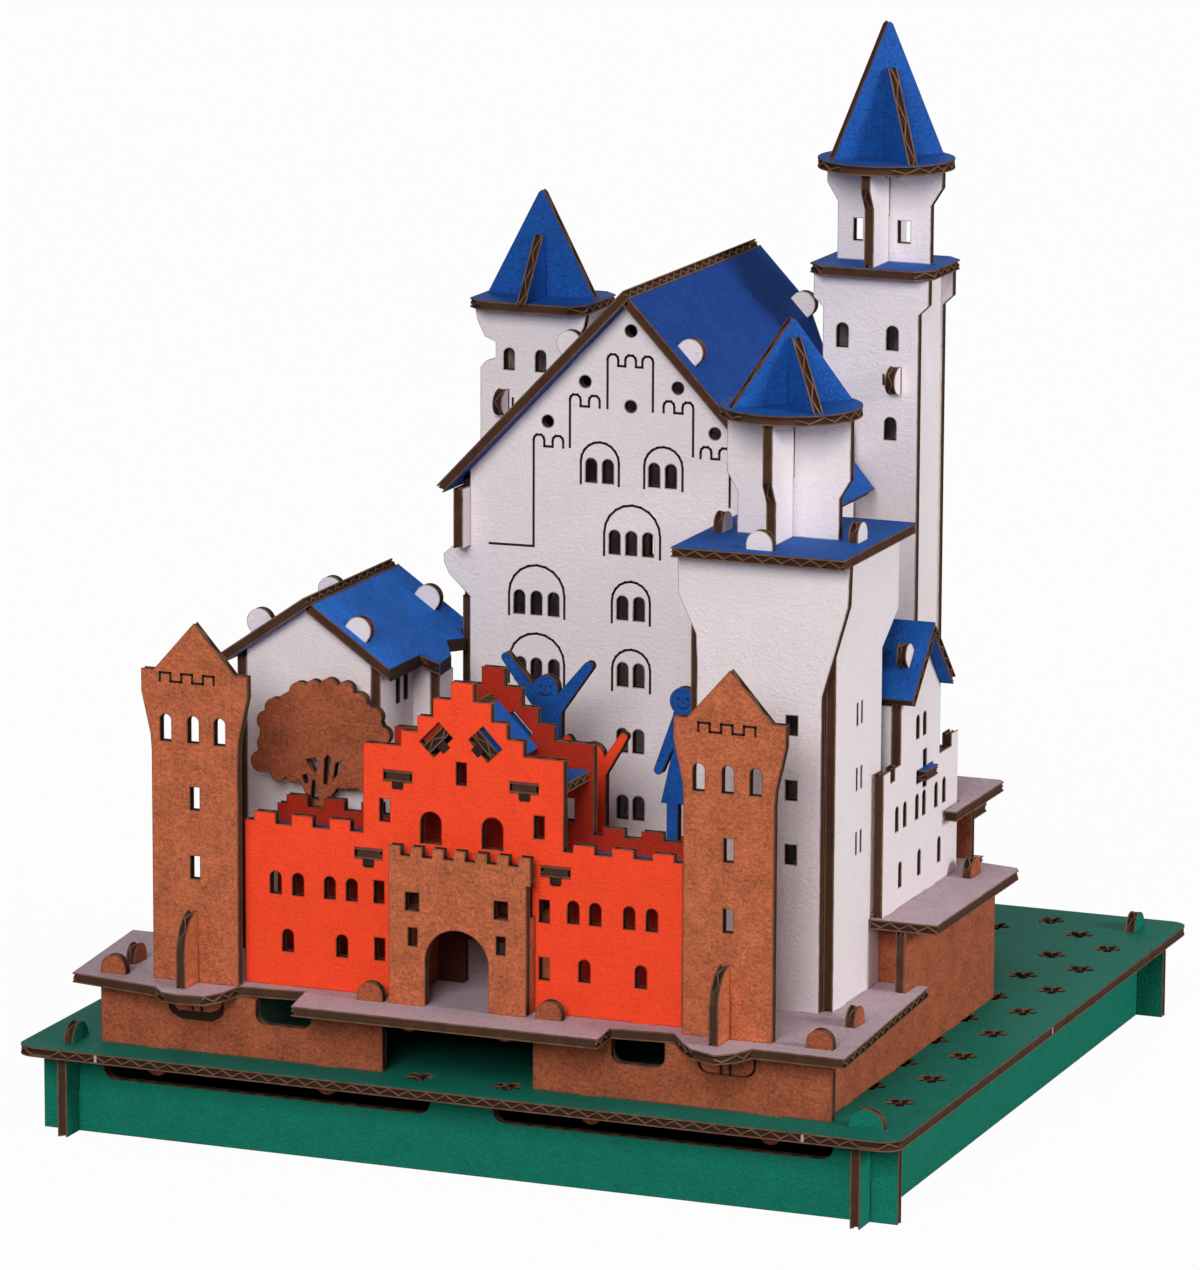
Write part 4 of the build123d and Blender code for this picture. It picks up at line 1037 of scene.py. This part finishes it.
@dataclass
class Base(SubAssembly):
    """Green base box."""

    boards: list[Board] = field(default_factory=lambda: [
        Board("base_plate", DEEP_GREEN, Grain.DEEP),
        Board("base_walls", GREEN),
    ])
    front_nicks: tuple[float, ...] = (-60.7, 59.6)
    right_nicks: tuple[float, ...] = (1.9,)
    nick_ends: tuple[float, float] = (13.75, 14.55)
    nick_width: float = 0.45
    nick_proud: float = -0.01

    def draw(self) -> None:
        """Draws pale nicks where the plate was broken out of its sheet."""
        low, high = self.nick_ends
        for side, places in ((Facing.FRONT, self.front_nicks), (Facing.RIGHT, self.right_nicks)):
            name = f"base_nicks_{side.name.lower()}"
            nicks = Drawing(name, "base_plate", GREEN.slot, side, self.nick_proud, STONE)
            for across in places:
                nicks.lines([(across, low), (across, high)], self.nick_width)
            nicks.build()


@dataclass
class Rock(SubAssembly):
    """Brown rock walls and the pale terraces on them."""

    boards: list[Board] = field(default_factory=lambda: [
        *(Board(f"rock_{part}", DEEP_KRAFT) for part in (
            "front_left", "front_right", "side_left", "side_right", "cross", "back", "inner_sides")),
        Board("terrace_step_wall", DEEP_KRAFT),
        Board("terrace_low", STONE, Grain.ACROSS),
        Board("terrace_middle", STONE, Grain.DEEP),
        Board("terrace_high", STONE, Grain.DEEP),
    ])


@dataclass
class Gatehouse(SubAssembly):
    """Orange gate walls, brown porch and towers, blue caps."""

    boards: list[Board] = field(default_factory=lambda: [
        Board("front_towers", KRAFT),
        Board("front_tower_fins", KRAFT),
        Board("gate_wall_front", ORANGE),
        # The back wall's deeper orange is painted shade
        Board("gate_wall_back", BACK_WALL_PAINTED_SHADE_ORANGE),
        # The passage sides take the deeper kraft as painted shade inside the passage
        Board("gate_passage_sides", DEEP_KRAFT),
        Board("gate_porch_front", KRAFT),
        Board("gate_wing_decks", BLUE, Grain.ACROSS),
        Board("gate_shoulder_decks", BLUE, Grain.ACROSS),
        Board("gate_roof_slopes", BLUE, Grain.DEEP),
    ])
    crenel_starts: tuple[tuple[float, float], ...] = ((-52.2, 75.25), (39.2, 75.0))
    crenel_count: int = 5
    crenel_step: float = 1.88
    crenel_rise: float = 1.35
    fin_feet: tuple[tuple[float, float], ...] = ((-46.9, 22.0), (-45.3, 22.0), (43.4, 20.9), (44.9, 20.9))
    fin_foot_top: float = 23.2
    fin_foot_width: float = 0.45
    pocket_shade_crescent: tuple[tuple[float, float], ...] = (
        (-51.1, 23.1), (-50.65, 21.7), (-49.7, 20.6), (-48.7, 20.25), (-43.4, 20.25), (-42.4, 20.9),
        (-41.65, 22.2), (-41.5, 23.2), (-41.8, 23.1), (-42.3, 22.35), (-43.8, 21.75), (-49.3, 21.65),
        (-50.0, 22.2), (-50.25, 22.9),
    )
    deck_notches: tuple[tuple[float, float], ...] = (
        (-12.75, 61.0), (8.85, 61.0), (-17.8, 48.0), (14.1, 48.0)
    )
    deck_notch_half: float = 0.45
    deck_notch_width: float = 1.1
    gable_notches: tuple[tuple[tuple[float, float], tuple[float, float]], ...] = (
        ((-4.92, 67.69), (-4.78, 67.83)), ((0.80, 67.78), (0.94, 67.64))
    )
    gable_notch_width: float = 1.5
    porch_sides: tuple[float, float] = (-12.4, 10.2)
    porch_heights: tuple[float, float] = (42.02, 49.6)
    passage_sides: tuple[float, float] = (-11.05, 8.85)
    passage_heights: tuple[float, float] = (26.52, 41.95)
    arch_sides: tuple[float, float] = (-6.62, 4.22)
    arch_top: float = 39.42

    def draw(self) -> None:
        """Draws what shows on the towers and the gate walls, with painted shade behind the porch and in the
        passage.
        """
        self._draw_towers()
        self._draw_notches()
        self._paint_shade_behind_porch()
        self._paint_shade_in_passage()

    def _draw_towers(self) -> None:
        """Draws the battlement lines, the fins' feet in the tabs below and a dark crescent of painted shade
        at the foot of the left pocket.
        """
        drawing = Drawing("tower_crenel_lines", "front_towers", KRAFT.slot)
        for left, foot in self.crenel_starts:
            drawing.lines(crenels(left, foot, self.crenel_count, self.crenel_step, self.crenel_rise))
        for across, foot in self.fin_feet:
            drawing.lines([(across, self.fin_foot_top), (across, foot)], self.fin_foot_width)
        # Painted shade: a dark crescent where the left pocket opens
        drawing.field(list(self.pocket_shade_crescent))
        drawing.build()

    def _draw_notches(self) -> None:
        """Draws the notches beside the slots of the decks and of the roof."""
        notches = Drawing("gate_notches", "gate_wall_front", ORANGE.slot)
        for across, height in self.deck_notches:
            ends = [(across - self.deck_notch_half, height), (across + self.deck_notch_half, height)]
            notches.lines(ends, self.deck_notch_width)
        for first, last in self.gable_notches:
            notches.lines([first, last], self.gable_notch_width)
        notches.build()

    def _paint_shade_behind_porch(self) -> None:
        """Paints shade on the gate wall behind the porch's windows: a dark orange field where the wall lies
        in shadow.
        """
        left, right = self.porch_sides
        foot, top = self.porch_heights
        behind = Drawing("gate_porch_painted_shade", "gate_wall_front", ORANGE.slot, look=SHADED_ORANGE)
        behind.field([(left, foot), (right, foot), (right, top), (left, top)])
        behind.build()

    def _paint_shade_in_passage(self) -> None:
        """Paints shade at the end of the passage round its arch: a dark orange field on the back wall, which
        lies in shadow there.
        """
        left, right = self.passage_sides
        foot, top = self.passage_heights
        near, far = self.arch_sides
        inside = Drawing("gate_passage_painted_shade", "gate_wall_back", ORANGE.slot, look=SHADED_ORANGE)
        inside.field([
            (left, foot), (near, foot), *Drawing.head(near, far, self.arch_top), (far, foot),
            (right, foot), (right, top), (left, top),
        ])
        inside.build()


def crenels(left: float, foot: float, count: int, step: float, rise: float) -> list[tuple[float, float]]:
    """Line that steps up and down like battlements.

    Args:
        left: where it starts
        foot: lower height
        count: number of stretches
        step: width of one stretch
        rise: height of a merlon

    Returns:
        the line's points
    """
    points = [(left, foot)]
    for stretch in range(count):
        height = foot + rise * (1 - stretch % 2)
        points.append((left + stretch * step, height))
        points.append((left + (stretch + 1) * step, height))
    points.append((left + count * step, foot))
    return points


@dataclass
class Garden(SubAssembly):
    """Tree and figures."""

    boards: list[Board] = field(default_factory=lambda: [
        Board("tree", DEEP_KRAFT),
        Board("figure_man", BLUE),
        Board("figure_woman", BLUE),
        Board("figure_child", ORANGE),
    ])
    heads: tuple[tuple[str, str, float, float, float], ...] = (
        ("man", BLUE.slot, 0.5, 71.8, 1.0),
        ("woman", BLUE.slot, 24.1, 71.7, 1.0),
        ("child", ORANGE.slot, 8.4, 61.3, 0.75),
    )
    eye_place: tuple[float, float] = (0.8, 0.5)
    eye_radius: float = 0.22
    nose_half: float = 0.3
    smile_radius: float = 1.1
    smile_turns: range = range(215, 326, 22)

    def draw(self) -> None:
        """Draws a plain face on each figure: two dots, a short line and a curve."""
        aside, above = self.eye_place
        turns = [math.radians(angle) for angle in self.smile_turns]
        for name, slot, across, height, size in self.heads:
            face = Drawing(f"figure_{name}_face", f"figure_{name}", slot)
            for side in (-1, 1):
                face.dot(across + side * aside * size, height + above * size, self.eye_radius * size)
            nose = self.nose_half * size
            face.lines([(across, height + nose), (across, height - nose)], THIN_WIDTH)
            reach = self.smile_radius * size
            smile = [(across + reach * math.cos(t), height + reach * math.sin(t)) for t in turns]
            face.lines(smile, THIN_WIDTH)
            face.build()


@dataclass
class House(SubAssembly):
    """White house with its blue roof."""

    boards: list[Board] = field(default_factory=lambda: [
        *(Board(f"house_{part}", WHITE) for part in (
            "front", "back", "side_left", "side_right", "cross", "bay")),
        # The house roof's clearer blue is painted light
        Board("house_roof_left", HOUSE_ROOF_PAINTED_LIGHT_BLUE, Grain.ACROSS),
        Board("house_roof_right", HOUSE_ROOF_PAINTED_LIGHT_BLUE, Grain.ACROSS),
    ])


@dataclass(frozen=True)
class Crest:
    """Line over round-headed merlons.

    Args:
        centres: middle of each merlon
        top: height of their heads
        first_foot: where the first merlon's outer side starts, if it runs further down
        last_foot: where the last merlon's outer side ends, if it runs further down
    """

    centres: tuple[float, ...]
    top: float
    first_foot: float | None = None
    last_foot: float | None = None

    HALF = 0.92
    DEPTH = 1.9
    TURNS = (180, 150, 115, 65, 30, 0)

    def points(self) -> list[tuple[float, float]]:
        """Works out the line.

        Returns:
            its points, from left to right
        """
        foot = self.top - self.DEPTH
        spring = self.top - self.HALF
        turns = [math.radians(angle) for angle in self.TURNS]
        points = []
        for number, centre in enumerate(self.centres):
            near = self.first_foot if number == 0 and self.first_foot else foot
            far = self.last_foot if number == len(self.centres) - 1 and self.last_foot else foot
            points.append((centre - self.HALF, near))
            points.extend((centre + self.HALF * math.cos(t), spring + self.HALF * math.sin(t)) for t in turns)
            points.append((centre + self.HALF, far))
        return points


@dataclass
class Palace(SubAssembly):
    """White palace with stepped gable and blue roof."""

    boards: list[Board] = field(default_factory=lambda: [
        *(Board(f"palace_{part}", WHITE) for part in ("front", "back", "side_left", "side_right")),
        Board("palace_awning", BLUE, Grain.DEEP),
        # The palace roof's deeper blue is painted shade
        Board("palace_roof_left", PALACE_ROOF_PAINTED_SHADE_BLUE, Grain.ACROSS),
        Board("palace_roof_right", PALACE_ROOF_PAINTED_SHADE_BLUE, Grain.ACROSS),
    ])
    ledge_start: tuple[float, float] = (-16.7, 91.0)
    crests: tuple[Crest, ...] = (
        Crest((-8.1, -4.8), 109.6, first_foot=91.1),
        Crest((-1.8, 1.5), 116.6, first_foot=107.9),
        Crest((4.7, 7.75, 10.7), 123.6, first_foot=114.7, last_foot=114.7),
        Crest((14.4, 17.65), 116.6, last_foot=107.9),
        Crest((20.8, 24.0), 109.6, last_foot=100.1),
    )
    narrow_arch: float = 6.6
    wide_arch: float = 9.7
    arch_leg: float = 3.6
    narrow_arches: tuple[tuple[float, float], ...] = ((-0.8, 102.1), (10.2, 102.1), (4.7, 79.6), (4.8, 68.4))
    wide_arches: tuple[tuple[float, float], ...] = ((3.3, 90.6), (-13.3, 79.5), (-13.3, 68.2))

    def draw(self) -> None:
        """Draws the stepped crests and the window arches cut into the gable."""
        drawing = Drawing("palace_gable_lines", "palace_front", WHITE.slot)
        outer, *others = self.crests
        drawing.lines([self.ledge_start] + outer.points())
        for crest in others:
            drawing.lines(crest.points())
        for width, places in ((self.narrow_arch, self.narrow_arches), (self.wide_arch, self.wide_arches)):
            for left, foot in places:
                drawing.arch(left, left + width, foot, foot + width / 2 + self.arch_leg)
        drawing.build()


@dataclass
class Towers(SubAssembly):
    """Square tower with its turret, tall tower and back tower."""

    boards: list[Board] = field(default_factory=lambda: [
        *(Board(f"square_tower_{part}", WHITE) for part in ("front", "back", "sides")),
        Board("square_tower_deck", BLUE, Grain.DEEP),
        Board("turret_panels", WHITE),
        *(Board(f"tall_{part}", WHITE) for part in ("tower_faces", "tower_sides", "top_panels")),
        *(Board(f"back_tower_{part}", WHITE) for part in ("faces", "sides")),
        *(Board(part, BLUE) for part in ("turret_cone", "tall_cone", "back_tower_cone")),
        Board("octagon_decks", BLUE, Grain.ACROSS),
        Board("round_plates", BLUE, Grain.ACROSS),
    ])
    tabs: tuple[LockTab, ...] = (
        LockTab("tall_tower", "tall_tower_faces", 39.95, 115.4, 37.0),
        LockTab("back_tower", "back_tower_faces", -37.2, 103.5, -36.4),
    )
    slit_place: float = 29.45
    slit_ends: tuple[float, float] = (114.2, 117.9)
    slit_cover: float = 2.3

    def draw(self) -> None:
        """Adds the tabs that lock two towers, and closes the slit in the tall tower's right side."""
        for tab in self.tabs:
            tab.build()
        cover = Drawing("tall_tower_side_cover", "tall_tower_sides", WHITE.slot, Facing.RIGHT, look=WHITE)
        cover.lines([(self.slit_place, height) for height in self.slit_ends], self.slit_cover)
        cover.build()


@dataclass
class Wing(SubAssembly):
    """White wing on the right."""

    boards: list[Board] = field(default_factory=lambda: [
        Board("wing_wall", WHITE),
        Board("wing_ends", WHITE),
        Board("wing_deck", BLUE, Grain.DEEP),
        Board("wing_roof_slopes", BLUE, Grain.ACROSS),
    ])


@dataclass(frozen=True)
class View:
    """Camera solved from the photograph.

    Args:
        azimuth: degrees round the castle
        elevation: degrees above the horizon
        roll: degrees of roll
        distance: from the target, in millimetres
        target: point looked at, from the middle of the base, in millimetres
        focal: focal length in image widths
    """

    azimuth: float = 21.77
    elevation: float = 11.85
    roll: float = 0.24
    distance: float = 1193.0
    target: tuple[float, float, float] = (-4.14, 0.0, 73.47)
    focal: float = 7250 / 1200

    def build(self) -> None:
        """Sets the scene's camera."""
        turn, rise, roll = (math.radians(angle) for angle in (self.azimuth, self.elevation, self.roll))
        ahead = Vector((
            -math.sin(turn) * math.cos(rise), math.cos(turn) * math.cos(rise), -math.sin(rise)
        ))
        level = Vector((math.cos(turn), math.sin(turn), 0.0))
        upright = level.cross(ahead)
        right = level * math.cos(roll) + upright * math.sin(roll)
        above = upright * math.cos(roll) - level * math.sin(roll)
        low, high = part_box("base_plate")
        middle = Vector(((low[0] + high[0]) / 2, (low[1] + high[1]) / 2, 0.0))
        place = middle + Vector(self.target) * MM - ahead * (self.distance * MM)
        data = bpy.data.cameras.new("camera")
        data.sensor_fit = "HORIZONTAL"
        data.lens = self.focal * data.sensor_width
        camera = bpy.data.objects.new("camera", data)
        camera.matrix_world = Matrix.Translation(place) @ Matrix((right, above, -ahead)).transposed().to_4x4()
        bpy.context.scene.collection.objects.link(camera)
        bpy.context.scene.camera = camera


@dataclass(frozen=True)
class Lamp:
    """Soft area light.

    Args:
        name: name of the light
        place: position in metres
        power: watts
        size: side in metres
        colour: linear colour
    """

    name: str
    place: tuple[float, float, float]
    power: float
    size: float
    colour: tuple[float, float, float] = (1.0, 1.0, 1.0)

    def build(self) -> None:
        """Adds the light, turned to the castle."""
        data = bpy.data.lights.new(self.name, "AREA")
        data.energy = self.power
        data.size = self.size
        data.color = self.colour
        lamp = bpy.data.objects.new(self.name, data)
        lamp.location = self.place
        aim = Vector((0.0, 0.0, 0.07)) - Vector(self.place)
        lamp.rotation_euler = aim.to_track_quat("-Z", "Y").to_euler()
        bpy.context.scene.collection.objects.link(lamp)


class Studio:
    """White floor and backdrop, with painted shade on the floor inside the base, and soft light from the
    front and the right.
    """

    LAMPS = (
        Lamp("front", (0.17, -1.90, 1.17), 35.5, 1.1, (1.0, 0.985, 0.975)),
        Lamp("side", (2.06, -0.18, 0.82), 30.5, 0.6, (1.0, 0.985, 0.98)),
        Lamp("back", (-0.9, 1.9, 1.1), 9.0, 1.2, (1.0, 0.985, 0.98)),
    )
    AMBIENT = (0.16, 0.155, 0.165)
    FLOOR_SIZE = 30.0
    FLOOR_DROP = 0.0002
    FLOOR_GREY = (0.35, 0.35, 0.35, 1.0)
    GLOW = 0.97
    # Half sides in metres of the floor's painted shade under the base
    PAINTED_SHADE_UNDER_BASE = (0.0676, 0.060)

    def build(self) -> None:
        """Adds the lights, the floor and the world, and sets plain view settings."""
        for lamp in self.LAMPS:
            lamp.build()
        self._floor()
        self._world()
        bpy.context.scene.view_settings.view_transform = "Standard"

    def _floor(self) -> None:
        """Adds the floor, white to the camera, with painted shade inside the base: there its glow is switched
        off, so the camera sees it nearly black.
        """
        bm = bmesh.new()
        bmesh.ops.create_grid(bm, x_segments=1, y_segments=1, size=self.FLOOR_SIZE / 2)
        mesh = bpy.data.meshes.new("floor")
        bm.to_mesh(mesh)
        bm.free()
        floor = bpy.data.objects.new("floor", mesh)
        floor.location.z = -self.FLOOR_DROP
        bpy.context.scene.collection.objects.link(floor)
        material = bpy.data.materials.new("floor_white")
        material.use_nodes = True
        nodes = NodeTree(material.node_tree)
        matte = material.node_tree.nodes["Principled BSDF"]
        matte.inputs["Base Color"].default_value = self.FLOOR_GREY
        matte.inputs["Roughness"].default_value = 1.0
        glow = nodes.add("ShaderNodeEmission", {"Color": (1.0, 1.0, 1.0, 1.0), "Strength": 1.0})
        path = nodes.add("ShaderNodeLightPath")
        seen = nodes.math("MULTIPLY", path.outputs["Is Camera Ray"], self.GLOW)
        where = nodes.add("ShaderNodeTexCoord").outputs["Object"]
        split = nodes.add("ShaderNodeSeparateXYZ", {0: where}).outputs
        # Painted shade: the glow is switched off on the floor under the base
        across = nodes.math("LESS_THAN", nodes.math("ABSOLUTE", split[0]), self.PAINTED_SHADE_UNDER_BASE[0])
        inward = nodes.math("LESS_THAN", nodes.math("ABSOLUTE", split[1]), self.PAINTED_SHADE_UNDER_BASE[1])
        shade_under_base = nodes.math("MULTIPLY", across, inward)
        glow_outside_shade = nodes.math("SUBTRACT", 1.0, shade_under_base)
        nodes.tree.links.new(glow_outside_shade, glow.inputs["Strength"])
        mixed = nodes.add("ShaderNodeMixShader", {0: seen, 1: matte.outputs[0], 2: glow.outputs[0]})
        output = material.node_tree.nodes["Material Output"]
        material.node_tree.links.new(mixed.outputs[0], output.inputs["Surface"])
        mesh.materials.append(material)

    def _world(self) -> None:
        """White to the camera, soft grey as light."""
        world = bpy.data.worlds.new("studio")
        world.use_nodes = True
        bpy.context.scene.world = world
        nodes = NodeTree(world.node_tree)
        backdrop = world.node_tree.nodes["Background"]
        path = nodes.add("ShaderNodeLightPath")
        values = {0: path.outputs["Is Camera Ray"], 6: (*self.AMBIENT, 1.0), 7: (1.0, 1.0, 1.0, 1.0)}
        mixed = nodes.add("ShaderNodeMix", values, data_type="RGBA")
        world.node_tree.links.new(mixed.outputs[2], backdrop.inputs["Color"])


def main() -> None:
    """Builds the castle and its studio."""
    logging.basicConfig(level=logging.INFO)
    for group in (Base(), Rock(), Gatehouse(), Garden(), House(), Palace(), Towers(), Wing()):
        group.build()
    View().build()
    Studio().build()


if __name__ == "__main__":
    main()
